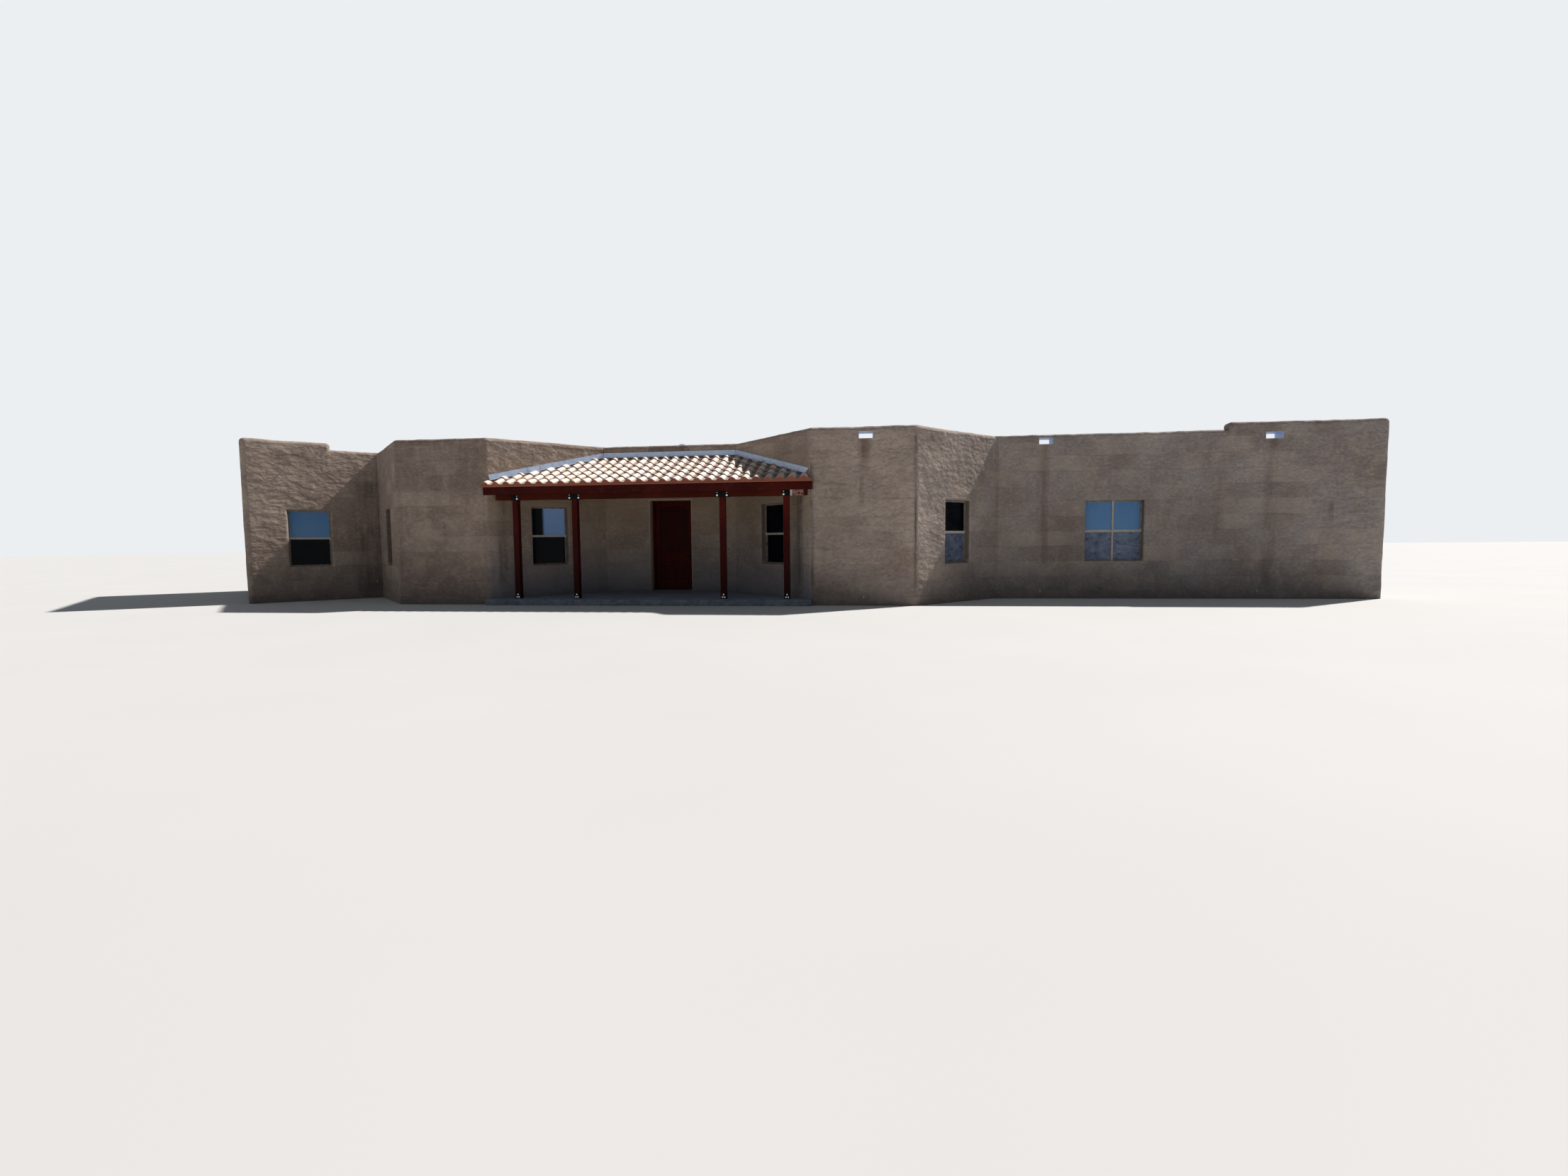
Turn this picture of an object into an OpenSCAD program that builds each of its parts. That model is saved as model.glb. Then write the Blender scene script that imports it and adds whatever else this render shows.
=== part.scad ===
// Single-storey adobe house with splayed bays, a tiled entry porch and rounded parapets.
// The origin is at ground level in the middle of the front doorway, half-way through the wall.
// X runs to the right along the front, Y into the house and Z up.

/* [Plan] */
// Length of the entry wall behind the porch
entry_w = 3720; // [3400:20:4200]
// Length of each splayed wall beside the porch
porch_side = 3100; // [3000:20:3300]
// Length of each bay front
bay_w = 2480; // [2300:20:2800]
// Length of each splayed wall between a bay and the wall behind it
return_len = 3010; // [2900:10:3100]
// Length of the long front wall on the right
long_len = 9200; // [8600:10:10000]
// Length of the wing's splayed front wall
wing_front = 3090; // [2900:10:3400]
// Length of the wing's end wall
wing_end = 6400; // [6000:50:6800]
// Depth of the house from the entry wall's outer face to the back wall's
house_depth = 8000; // [7600:50:8600]

/* [Walls] */
// Thickness of the stuccoed block walls
wall_t = 360; // [340:10:400]
// Radius of the rounded stucco edges
round_r = 100; // [70:5:120]
// Radius of the rounded outward corners, in plan
corner_r = 140; // [130:5:160]
// Top of the low parapet
parapet_low = 4180; // [4150:5:4220]
// Top of the raised parapet at the wing and the right end
parapet_high = 4360; // [4340:5:4420]
// Length of raised parapet on the wing's front wall
wing_raised = 1980; // [1700:10:2200]
// Length of raised parapet at the right of the long wall
long_raised = 3630; // [3200:10:4000]
// Top of the flat roof inside the parapets
roof_z = 3880; // [3850:5:3885]
// Thickness of the flat roof
roof_t = 200; // [150:10:260]

/* [Floor] */
// Floor level above the ground
floor_z = 200; // [180:5:220]
// Top of the porch slab
porch_z = 150; // [130:5:170]
// Distance of the slab's front edge from the entry wall
slab_out = 2430; // [2350:10:2600]

/* [Windows] */
// Window sill level
sill_z = 960; // [900:10:1000]
// Height of every window opening
window_h = 1524; // [1400:4:1580]
// Width of the single windows
window_w = 934; // [900:2:960]
// Width of the paired windows
wide_window_w = 1400; // [1300:10:1500]
// Distance of a window frame behind the wall face
window_setback = 150; // [120:5:180]
// Face width of a window frame
frame_w = 18; // [15:1:30]
// Depth of a window frame
frame_d = 80; // [76:2:100]
// Face width of a sash inside its frame
sash_w = 16; // [12:1:25]
// Thickness of the window glass
glass_t = 6; // [4:1:10]

/* [Front door] */
// Width of the doorway in the wall
door_w = 1150; // [1100:5:1200]
// Top of the doorway
door_head = 2677; // [2650:1:2690]
// Thickness of the door leaf
leaf_t = 45; // [42:1:50]
// Face width of the door frame
jamb_w = 45; // [40:1:55]
// Gap between the leaf and its frame
door_gap = 7; // [6:0.5:8]
// Width of the leaf's upright stiles
stile_w = 134; // [110:2:160]

/* [Porch roof] */
// Distance of the fascia's front from the entry wall
eave_out = 2260; // [2250:5:2300]
// Half the length of the fascia
fascia_half = 4115; // [4090:5:4160]
// Height of the fascia board
fascia_h = 215; // [180:5:230]
// Top of the fascia board
fascia_top = 2955; // [2940:5:2970]
// Rise of the porch roof for each unit of run
pitch_rise = 0.35; // [0.3:0.001:0.36]
// Side of the square posts and width of the beam
post_s = 140; // [130:2:150]
// Underside of the beam
beam_z = 2610; // [2580:5:2630]
// Half the length of the beam
beam_half = 3920; // [3850:10:3980]
// Distance of the beam's front face behind the fascia's front
beam_set = 110; // [100:2:120]
// Distance of the inner posts from the middle of the porch
inner_post = 1860; // [1800:10:1950]
// Distance of the outer posts from the middle of the porch
outer_post = 3410; // [3380:10:3460]
// Distance of the posts and beam to the right of the porch's middle
post_shift = 70; // [0:5:80]

/* [Hidden] */
$fn = 48;

// Colours
stucco_tone = [0.50, 0.43, 0.35];
concrete_tone = [0.55, 0.56, 0.57];
stain_tone = [0.32, 0.11, 0.07];
door_tone = [0.25, 0.06, 0.04];
frame_tone = [0.72, 0.70, 0.66];
glass_tone = [0.15, 0.22, 0.30, 0.6];
steel_tone = [0.06, 0.06, 0.07];
zinc_tone = [0.62, 0.66, 0.70];
tile_tone = [0.80, 0.60, 0.48];
roof_tone = [0.70, 0.69, 0.66];
brass_tone = [0.70, 0.55, 0.30];

// Plan corners, anticlockwise with the house on the left of each wall.
// They are whole millimetres, so that neighbouring walls agree on the corner they share
splay = 45;
face_y = -wall_t / 2;
function travel(p, len, ang) = [p[0] + round(len * cos(ang)), p[1] + round(len * sin(ang))];
entry_l = [-entry_w / 2, face_y];
bay_l_inner = travel(entry_l, porch_side, 180 + splay);
bay_l_outer = travel(bay_l_inner, bay_w, 180);
wing_root = travel(bay_l_outer, return_len, 180 - splay);
wing_tip = travel(wing_root, wing_front, 180 + splay);
wing_rear = travel(wing_tip, wing_end, 180 - splay);
long_start = [-wing_root[0], wing_root[1]];
long_stop = travel(long_start, long_len, 0);
back_r = [long_stop[0], face_y + house_depth];
back_l = [wing_rear[0] + back_r[1] - wing_rear[1], back_r[1]];
plan = [wing_tip, wing_root, bay_l_outer, bay_l_inner, entry_l, [-entry_l[0], face_y],
    [-bay_l_inner[0], bay_l_inner[1]], [-bay_l_outer[0], bay_l_outer[1]], long_start,
    long_stop, back_r, back_l, wing_rear];
sides = len(plan);

// Number of each wall, by the corner where it starts
WING_FRONT = 0;
LEFT_RETURN = 1;
LEFT_BAY = 2;
PORCH_LEFT = 3;
ENTRY = 4;
PORCH_RIGHT = 5;
RIGHT_BAY = 6;
RIGHT_RETURN = 7;
LONG_FRONT = 8;
RIGHT_END = 9;
BACK = 10;
WING_BACK = 11;
WING_END = 12;

function corner(i) = plan[(i + sides) % sides];
function run(i) = corner(i + 1) - corner(i);
function wall_len(i) = norm(run(i));
function heading(i) = atan2(run(i)[1], run(i)[0]);
// Left turn at the corner where wall i starts, positive at an outward corner
function turn(i) = ((heading(i) - heading(i - 1)) % 360 + 540) % 360 - 180;
// Open joint at each mitred end of a wall
joint = 0.1;
// Angle by which a rounded corner reaches back into its straight wall
bury = 5;
// Corner of the floor and the roof, just inside the walls' inner faces
slab_gap = 0.3;
function slab_corner(i) = let (a = heading(i - 1), m = tan(turn(i) / 2))
    corner(i) + (wall_t + slab_gap) * [-sin(a) - m * cos(a), cos(a) - m * sin(a)];
slab_plan = [for (i = [0 : sides - 1]) slab_corner(i)];

// Windows as [wall, centre along the wall, width]
wing_window_s = 1422;
wing_window_w = 964;
wide_window_s = 2940;
porch_window_s = porch_side / 2 + 20;
wing_windows = [[WING_FRONT, wing_window_s, wing_window_w]];
return_windows = [for (i = [LEFT_RETURN, RIGHT_RETURN]) [i, return_len / 2, window_w]];
porch_windows = [for (i = [PORCH_LEFT, PORCH_RIGHT]) [i, porch_window_s, window_w]];
long_windows = [[LONG_FRONT, wide_window_s, wide_window_w]];
front_windows = concat(wing_windows, return_windows, porch_windows, long_windows);
back_bays = 5;
back_pitch = wall_len(BACK) / back_bays;
rear_windows = concat(
    [for (k = [1, 3]) [RIGHT_END, wall_len(RIGHT_END) * k / 4, window_w]],
    [for (k = [0 : back_bays - 1]) [BACK, back_pitch * (k + 0.5), wide_window_w]],
    [for (k = [1, 3]) [WING_BACK, wall_len(WING_BACK) * k / 4, window_w]],
    [[WING_END, wing_end / 2, window_w]]);
all_windows = concat(front_windows, rear_windows);
meeting_rail = 50;
mullion_w = 35;
wide_from = 1200;
// Depths of the front and back of the upper and the lower sash behind the frame's front
upper_sash = [8, 38];
lower_sash = [42, 72];

// Roof scuppers as [wall, centre along the wall, width, level]
scupper_h = 165;
scupper_lip = 15;
sheet_t = 4;
scuppers = [[RIGHT_BAY, 1300, 330, 3888], [LONG_FRONT, 1230, 340, 3930],
    [LONG_FRONT, 6600, 400, 3930]];

// Front door and its frame, at the wall's inner face
leaf_back = wall_t / 2;
leaf_front = leaf_back - leaf_t;
jamb_d = 115;
jamb_front = leaf_back - jamb_d;
stop_w = 12;
stop_gap = 5;
threshold_t = 15;
leaf_w = door_w - 2 * jamb_w - 2 * door_gap;
leaf_clear = 8;
leaf_z = floor_z + threshold_t + leaf_clear;
leaf_top = door_head - jamb_w - door_gap;
arch_peak = 2525;
arch_spring = 2436;
upper_panel_z = 1250;
lower_panel_top = 1004;
lower_panel_z = 475;
panel_w = leaf_w - 2 * stile_w;
arch_rise = arch_peak - arch_spring;
arch_r = (pow(panel_w / 2, 2) + pow(arch_rise, 2)) / (2 * arch_rise);
mould_w = 18;
mould_t = 37;
panel_t = 27;
planks = 6;
plank_groove = 7;
groove_depth = 4;
hinge_r = 8;
hinge_pin_r = 4;
hinge_h = 100;
knuckles = 5;
knuckle_gap = 0.6;
hinge_x = -door_w / 2 + jamb_w + door_gap / 2;
hinge_y = leaf_back + hinge_r;
hinge_first = 250;
hinge_step = 650;
hinge_levels = [for (k = [0 : 3]) floor_z + hinge_first + k * hinge_step];
hinge_plate_t = 3;
hinge_finger = hinge_r + 4;
pin_play = 0.3;
handle_inset = 68;
handle_x = leaf_w / 2 - handle_inset;
handle_z = 1130;

// Porch roof planes
eave_y = face_y - eave_out;
fascia_t = 38;
rafter_w = 38;
rafter_d = 148;
board_t = 19;
tile_t = 100;
tile_over = 45;
rafter_pitch = 610;
end_rafter = 60;
roof_clear = 8;
bed_gap = 0.5;
function deck_z(y) = fascia_top + (y - eave_y) * pitch_rise;
beam_front = eave_y + beam_set;
beam_back = beam_front + post_s;
beam_top = deck_z(beam_back) - board_t - rafter_d;
cap_plate_t = 6;
base_plate_t = 10;
post_x = [for (x = [-outer_post, -inner_post, inner_post, outer_post]) x + post_shift];
slab_side = 30;
recess = [corner(PORCH_LEFT), corner(ENTRY), corner(PORCH_RIGHT), corner(RIGHT_BAY)];

// Flashings, folded sheet standing off the wall
flash_h = 135;
flash_off = 25;
flash_top = 4000;
flash_end = 45;
flash_gap = 20;
flash_cut = 35;

// Round vent with a wide cap, on the roof behind the entry
vent_place = [-450, 2820];
vent_r = 50;
cap_r = 100;
cap_h = 50;
vent_top = 4620;

// Garden taps and conduit ends as [wall, place along the wall, level]
taps = [[RIGHT_BAY, 1250, 215], [LONG_FRONT, 1135, 215], [LONG_FRONT, 6310, 215],
    [WING_FRONT, 2960, 490]];
tap_reach = 60;
tap_drop = 40;
tap_r = 13;
conduits = [[WING_FRONT, 940, 3600], [PORCH_LEFT, 580, 3590]];
conduit_reach = 55;
conduit_r = 12;

// Places a wall's own axes: X along its outer face, Y into the wall
module on_wall(i) {
    translate([corner(i)[0], corner(i)[1], 0])
        rotate(heading(i))
            children();
}

// Upright rounded edge with its ball on top, at the free end of a raised parapet
module edge_column(x, y, z) {
    translate([x, y, 0])
        cylinder(r = round_r, h = z);
    translate([x, y, z])
        sphere(r = round_r);
}

// Free end of a raised parapet, rounded on both edges and along the top
module rounded_stop(x, side, h) {
    edge_z = h - round_r;
    edge_column(x, round_r, edge_z);
    edge_column(x, wall_t - round_r, edge_z);
    translate([min(x, x + side * round_r), round_r, 0])
        cube([round_r, wall_t - 2 * round_r, edge_z]);
    translate([x, round_r, edge_z])
        rotate([-90, 0, 0])
            cylinder(r = round_r, h = wall_t - 2 * round_r);
}

// Cross-section of a wall with both top edges rounded
module wall_section(h) {
    edge_z = h - round_r;
    square([wall_t, edge_z]);
    translate([round_r, 0])
        square([wall_t - 2 * round_r, h]);
    for (y = [round_r, wall_t - round_r])
        translate([y, edge_z])
            circle(r = round_r);
}

// Half-section of an upright corner, turned about the middle of its curve
module corner_section(h) {
    edge_z = h - round_r;
    square([corner_r, edge_z]);
    square([corner_r - round_r, h]);
    translate([corner_r - round_r, edge_z])
        intersection() {
            circle(r = round_r);
            square(round_r);
        }
}

// Straight stretch of wall between two places along it
module straight_run(x0, x1, h) {
    translate([x0, 0, 0])
        rotate([90, 0, 90])
            linear_extrude(x1 - x0)
                wall_section(h);
}

// Half of a rounded outward corner, up to the mitre with the next wall
module rounded_corner(x, start_angle, sweep, h) {
    translate([x, corner_r, 0])
        rotate(start_angle)
            rotate_extrude(angle = sweep)
                corner_section(h);
}

// Plan of one wall between its mitred corners
module mitred_plan(i) {
    m0 = tan(turn(i) / 2);
    m1 = tan(turn(i + 1) / 2);
    x1 = wall_len(i) - joint;
    polygon([[joint, 0], [x1, 0], [x1 - wall_t * m1, wall_t], [joint + wall_t * m0, wall_t]]);
}

// One wall, with its parapet raised over a length at its start or at its end
module solid_wall(i, h = parapet_low, raised_start = 0, raised_end = 0) {
    w = wall_len(i);
    turn0 = turn(i);
    turn1 = turn(i + 1);
    x0 = joint + (turn0 > 0 ? corner_r * tan(turn0 / 2) : -2 * wall_t);
    x1 = w - joint - (turn1 > 0 ? corner_r * tan(turn1 / 2) : -2 * wall_t);
    start_stop = raised_start - round_r;
    end_stop = w - raised_end + round_r;
    intersection() {
        union() {
            straight_run(x0, x1, h);
            if (raised_start > 0) {
                straight_run(x0, start_stop, parapet_high);
                rounded_stop(start_stop, 1, parapet_high);
            }
            if (raised_end > 0) {
                straight_run(end_stop, x1, parapet_high);
                rounded_stop(end_stop, -1, parapet_high);
            }
        }
        linear_extrude(parapet_high + 1)
            mitred_plan(i);
    }
    if (turn0 > 0)
        rounded_corner(x0, 270 - turn0 / 2, turn0 / 2 + bury, raised_start > 0 ? parapet_high : h);
    if (turn1 > 0)
        rounded_corner(x1, 270 - bury, turn1 / 2 + bury, raised_end > 0 ? parapet_high : h);
}

// The same wall in its place, with its windows and scuppers cut through
module wall(i, h = parapet_low, raised_start = 0, raised_end = 0) {
    color(stucco_tone)
        on_wall(i)
            difference() {
                solid_wall(i, h, raised_start, raised_end);
                for (win = all_windows)
                    if (win[0] == i)
                        translate([win[1] - win[2] / 2, -1, sill_z])
                            cube([win[2], wall_t + 2, window_h]);
                for (s = scuppers)
                    if (s[0] == i)
                        translate([s[1] - s[2] / 2, -1, s[3]])
                            cube([s[2], wall_t + 2, scupper_h]);
            }
}

module wing_front_wall() {
    wall(WING_FRONT, raised_start = wing_raised);
}

module left_return_wall() {
    wall(LEFT_RETURN);
}

module left_bay_wall() {
    wall(LEFT_BAY);
}

module porch_left_wall() {
    wall(PORCH_LEFT);
}

module porch_right_wall() {
    wall(PORCH_RIGHT);
}

module right_bay_wall() {
    wall(RIGHT_BAY);
}

module right_return_wall() {
    wall(RIGHT_RETURN);
}

module long_front_wall() {
    wall(LONG_FRONT, raised_end = long_raised);
}

module right_end_wall() {
    wall(RIGHT_END, h = parapet_high);
}

module back_wall() {
    wall(BACK, raised_start = long_raised);
}

module wing_back_wall() {
    wall(WING_BACK, raised_end = wing_raised);
}

module wing_end_wall() {
    wall(WING_END, h = parapet_high);
}

// Part of the entry wall between two places along it, above a level
module entry_wall_part(x0, x1, z0) {
    intersection() {
        wall(ENTRY);
        translate([x0, face_y - 1, z0])
            cube([x1 - x0, wall_t + 2, parapet_high]);
    }
}

module entry_wall_left() {
    entry_wall_part(-entry_w, -door_w / 2, 0);
}

module entry_wall_right() {
    entry_wall_part(door_w / 2, entry_w, 0);
}

module entry_wall_head() {
    entry_wall_part(-door_w / 2, door_w / 2, door_head);
}

module floor_slab() {
    color(concrete_tone)
        linear_extrude(floor_z)
            union() {
                polygon(slab_plan);
                translate([-door_w / 2, face_y])
                    square([door_w, wall_t + leaf_t]);
            }
}

// Porch slab that fills the recess and stands out in front of the bays
module porch_slab() {
    slab_half = recess[3][0] + slab_side;
    slab_y = face_y - slab_out;
    color(concrete_tone)
        linear_extrude(porch_z)
            polygon([[-slab_half, slab_y], [slab_half, slab_y], [slab_half, recess[3][1]],
                recess[3], recess[2], recess[1], recess[0], [-slab_half, recess[0][1]]]);
}

module flat_roof() {
    color(roof_tone)
        translate([0, 0, roof_z - roof_t])
            linear_extrude(roof_t)
                polygon(slab_plan);
}

module roof_vent() {
    color(zinc_tone)
        translate([vent_place[0], vent_place[1], 0]) {
            translate([0, 0, roof_z])
                cylinder(r = vent_r, h = vent_top - cap_h - roof_z);
            translate([0, 0, vent_top - cap_h])
                cylinder(r = cap_r, h = cap_h);
        }
}

// Sheet-metal lining of the scuppers, with a lip outside the wall
module scupper_liners() {
    color(zinc_tone)
        for (s = scuppers)
            on_wall(s[0])
                translate([s[1] - s[2] / 2, -scupper_lip, s[3]])
                    difference() {
                        cube([s[2], wall_t + scupper_lip, scupper_h]);
                        translate([sheet_t, -1, sheet_t])
                            cube([s[2] - 2 * sheet_t, wall_t + scupper_lip + 2,
                                scupper_h - 2 * sheet_t]);
                    }
}

// Panes of a window: a lower and an upper one, in one column or, in a wide window, two
pane_inset = frame_w + sash_w;
pane_h = (window_h - 2 * pane_inset - meeting_rail) / 2;
function columns(width) = width > wide_from ? 2 : 1;
function column_gap(width) = columns(width) > 1 ? mullion_w + 2 * sash_w : 0;
function pane_w(width) = (width - 2 * pane_inset - column_gap(width)) / columns(width);
function pane_x(width, col) = pane_inset + col * (pane_w(width) + mullion_w + 2 * sash_w);

// Places a window's own axes at the lower left of its opening
module at_window(win) {
    on_wall(win[0])
        translate([win[1] - win[2] / 2, window_setback, sill_z])
            children();
}

// Block over a pane from one depth to another, grown sideways, downward and upward
module pane_block(win, col, upper, depths, side, down, up) {
    z = pane_inset + (upper ? pane_h + meeting_rail : 0);
    translate([pane_x(win[2], col) - side, depths[0], z - down])
        cube([pane_w(win[2]) + 2 * side, depths[1] - depths[0], pane_h + down + up]);
}

// Window frames with a stepped upper sash in front of a lower one
module window_frames(list) {
    color(frame_tone)
        for (win = list)
            at_window(win)
                difference() {
                    cube([win[2], frame_d, window_h]);
                    for (col = [0 : columns(win[2]) - 1]) {
                        pane_block(win, col, true, [-1, frame_d + 1], 0, 0, 0);
                        pane_block(win, col, false, [-1, frame_d + 1], 0, 0, 0);
                        pane_block(win, col, true, [-1, upper_sash[0]], sash_w, meeting_rail, sash_w);
                        pane_block(win, col, false, [-1, lower_sash[0]], sash_w, sash_w, 0);
                        pane_block(win, col, true, [upper_sash[1], frame_d + 1], sash_w, 0, sash_w);
                        pane_block(win, col, false, [lower_sash[1], frame_d + 1], sash_w, sash_w,
                            meeting_rail);
                    }
                }
}

// Depths of the two faces of the glass in a sash
function glazing(sash) = [(sash[0] + sash[1] - glass_t) / 2, (sash[0] + sash[1] + glass_t) / 2];

module window_glass(list) {
    color(glass_tone)
        for (win = list)
            at_window(win)
                for (col = [0 : columns(win[2]) - 1]) {
                    pane_block(win, col, true, glazing(upper_sash), 0, 0, 0);
                    pane_block(win, col, false, glazing(lower_sash), 0, 0, 0);
                }
}

module wing_window_frame() {
    window_frames(wing_windows);
}

module return_window_frames() {
    window_frames(return_windows);
}

module porch_window_frames() {
    window_frames(porch_windows);
}

module long_wall_window_frame() {
    window_frames(long_windows);
}

module rear_window_frames() {
    window_frames(rear_windows);
}

module front_window_glass() {
    window_glass(front_windows);
}

module rear_window_glass() {
    window_glass(rear_windows);
}

// Rebated section of the door frame, drawn from the opening's edge inward
module jamb_section() {
    stop_back = leaf_front - stop_gap;
    polygon([[0, jamb_front], [jamb_w + stop_w, jamb_front], [jamb_w + stop_w, stop_back],
        [jamb_w, stop_back], [jamb_w, leaf_back], [0, leaf_back]]);
}

module door_jambs() {
    color(door_tone)
        for (side = [0, 1])
            mirror([side, 0, 0])
                translate([-door_w / 2, 0, floor_z])
                    linear_extrude(door_head - jamb_w - stop_w - floor_z)
                        jamb_section();
}

// Head of the door frame across the whole doorway, with the jambs' rebate carried round it
module door_frame_head() {
    rebate_y = leaf_front - stop_gap;
    under = door_head - jamb_w - stop_w;
    color(door_tone)
        difference() {
            translate([-door_w / 2, jamb_front, under])
                cube([door_w, leaf_back - jamb_front, jamb_w + stop_w]);
            translate([-door_w / 2 + jamb_w, rebate_y, under - 1])
                cube([door_w - 2 * jamb_w, leaf_t + stop_gap + 1, stop_w + 1]);
        }
}

module door_threshold() {
    color(brass_tone)
        translate([-door_w / 2 + jamb_w + stop_w, jamb_front, floor_z])
            cube([door_w - 2 * (jamb_w + stop_w), leaf_back - jamb_front, threshold_t]);
}

// Outline of the upper door panel, arched at its top, grown or shrunk by an inset
module arched_panel(inset) {
    intersection() {
        translate([-panel_w / 2 + inset, upper_panel_z + inset])
            square([panel_w - 2 * inset, arch_peak - upper_panel_z]);
        translate([0, arch_peak - arch_r])
            circle(r = arch_r - inset, $fn = 180);
    }
}

module lower_panel(inset) {
    translate([-panel_w / 2 + inset, lower_panel_z + inset])
        square([panel_w - 2 * inset, lower_panel_top - lower_panel_z - 2 * inset]);
}

// Slab of a door outline, centred in the leaf's thickness
module leaf_layer(thickness) {
    translate([0, leaf_back - (leaf_t - thickness) / 2, 0])
        rotate([90, 0, 0])
            linear_extrude(thickness)
                children();
}

module both_panels(inset) {
    arched_panel(inset);
    lower_panel(inset);
}

// Upright grooves between the planks of the door panels
module plank_grooves() {
    for (k = [1 : planks - 1])
        translate([-panel_w / 2 + panel_w * k / planks - plank_groove / 2, leaf_z])
            square([plank_groove, leaf_top - leaf_z]);
}

// Door leaf: stiles and rails round an arched and a square panel of grooved planks
module front_door() {
    color(door_tone) {
        leaf_layer(leaf_t)
            difference() {
                translate([-leaf_w / 2, leaf_z])
                    square([leaf_w, leaf_top - leaf_z]);
                both_panels(0);
            }
        leaf_layer(mould_t)
            difference() {
                both_panels(0);
                both_panels(mould_w);
            }
        leaf_layer(panel_t)
            difference() {
                both_panels(mould_w);
                plank_grooves();
            }
        leaf_layer(panel_t - 2 * groove_depth)
            both_panels(mould_w);
    }
}

// Back plate, round rose and lever on each face of the door
module door_handles() {
    plate_w = 56;
    plate_h = 240;
    plate_t = 5;
    neck_r = 10;
    neck_l = 45;
    lever_l = 115;
    color(steel_tone)
        for (face = [[leaf_front, 1], [leaf_back, -1]])
            translate([handle_x, face[0], handle_z])
                mirror([0, face[1] < 0 ? 1 : 0, 0]) {
                    translate([-plate_w / 2, -plate_t, -plate_h / 2])
                        cube([plate_w, plate_t, plate_h]);
                    rotate([90, 0, 0])
                        cylinder(r = neck_r, h = neck_l);
                    translate([0, -neck_l, 0])
                        sphere(r = neck_r);
                    translate([0, -neck_l, 0])
                        rotate([0, -90, 0])
                            cylinder(r = neck_r, h = lever_l);
                    translate([-lever_l, -neck_l, 0])
                        sphere(r = neck_r);
                }
}

// Barrel pieces of one hinge whose number is even or odd
module hinge_barrel(first, bore_r) {
    step = hinge_h / knuckles;
    for (k = [first : 2 : knuckles - 1])
        translate([0, 0, k * step + knuckle_gap / 2])
            difference() {
                cylinder(r = hinge_r, h = step - knuckle_gap);
                translate([0, 0, -1])
                    cylinder(r = bore_r, h = step + 2);
            }
}

// Plate fingers that reach the barrel, on one side of a hinge
module hinge_fingers(first, width) {
    step = hinge_h / knuckles;
    for (k = [first : 2 : knuckles - 1])
        translate([0, -hinge_r, k * step + knuckle_gap / 2])
            difference() {
                cube([width, hinge_plate_t, step - knuckle_gap]);
                translate([0, hinge_r, -1])
                    cylinder(r = hinge_pin_r + pin_play, h = step + 2);
            }
}

module hinge_jamb_leaves() {
    plate_w = 26;
    color(brass_tone)
        for (z = hinge_levels)
            translate([hinge_x, hinge_y, z]) {
                hinge_barrel(0, hinge_pin_r);
                cylinder(r = hinge_pin_r, h = hinge_h);
                mirror([1, 0, 0])
                    hinge_fingers(0, hinge_finger);
                translate([-hinge_finger - plate_w, -hinge_r, 0])
                    cube([plate_w, hinge_plate_t, hinge_h]);
            }
}

module hinge_door_leaves() {
    plate_w = 38;
    color(brass_tone)
        for (z = hinge_levels)
            translate([hinge_x, hinge_y, z]) {
                hinge_barrel(1, hinge_pin_r + pin_play);
                hinge_fingers(1, hinge_finger);
                translate([hinge_finger, -hinge_r, 0])
                    cube([plate_w, hinge_plate_t, hinge_h]);
            }
}

module porch_posts() {
    color(stain_tone)
        for (x = post_x)
            translate([x - post_s / 2, beam_front, porch_z + base_plate_t])
                cube([post_s, post_s, beam_z - cap_plate_t - porch_z - base_plate_t]);
}

// Steel shoe of each post: a floor plate with an upright plate before and behind
module post_bases() {
    shoe_w = 120;
    shoe_h = 150;
    foot = 40;
    color(steel_tone)
        for (x = post_x) {
            translate([x - post_s / 2, beam_front - foot / 2, porch_z])
                cube([post_s, post_s + foot, base_plate_t]);
            for (y = [beam_front - cap_plate_t, beam_back])
                translate([x - shoe_w / 2, y, porch_z])
                    cube([shoe_w, cap_plate_t, shoe_h]);
        }
}

// Steel cap of each post: a saddle plate with a plate on each face of the beam
module post_caps() {
    wide = 300;
    narrow = 190;
    cheek_h = 130;
    color(steel_tone)
        for (x = post_x) {
            cap_w = abs(x - post_shift) < outer_post ? wide : narrow;
            translate([x - cap_w / 2, beam_front - cap_plate_t, beam_z - cap_plate_t])
                cube([cap_w, post_s + 2 * cap_plate_t, cap_plate_t]);
            for (y = [beam_front - cap_plate_t, beam_back])
                translate([x - cap_w / 2, y, beam_z - cap_plate_t])
                    cube([cap_w, cap_plate_t, cheek_h]);
        }
}

// Beam with its ends cut to the angle of the walls beside the porch
module porch_beam() {
    back_half = beam_half - post_s * tan(splay);
    color(stain_tone)
        translate([post_shift, 0, beam_z])
            linear_extrude(beam_top - beam_z)
                polygon([[-beam_half, beam_front], [beam_half, beam_front],
                    [back_half, beam_back], [-back_half, beam_back]]);
}

// Plan of the porch roof behind a front line, up to the recess walls and just clear of the bays
module roof_plan(front_y, half) {
    bay_y = recess[3][1] - roof_clear;
    polygon([[-half, front_y], [half, front_y], [half, bay_y], [recess[3][0], bay_y],
        recess[3], recess[2], recess[1], recess[0], [recess[0][0], bay_y], [-half, bay_y]]);
}

// Side view of a rafter with a plumb tail and a notch over the beam
module rafter_section() {
    tail_y = eave_y + fascia_t;
    wall_y = face_y;
    function top(y) = deck_z(y) - board_t;
    polygon([[tail_y, top(tail_y)], [wall_y, top(wall_y)], [wall_y, top(wall_y) - rafter_d],
        [beam_back, beam_top], [beam_front, beam_top],
        [beam_front, top(beam_front) - rafter_d], [tail_y, top(tail_y) - rafter_d]]);
}

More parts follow.
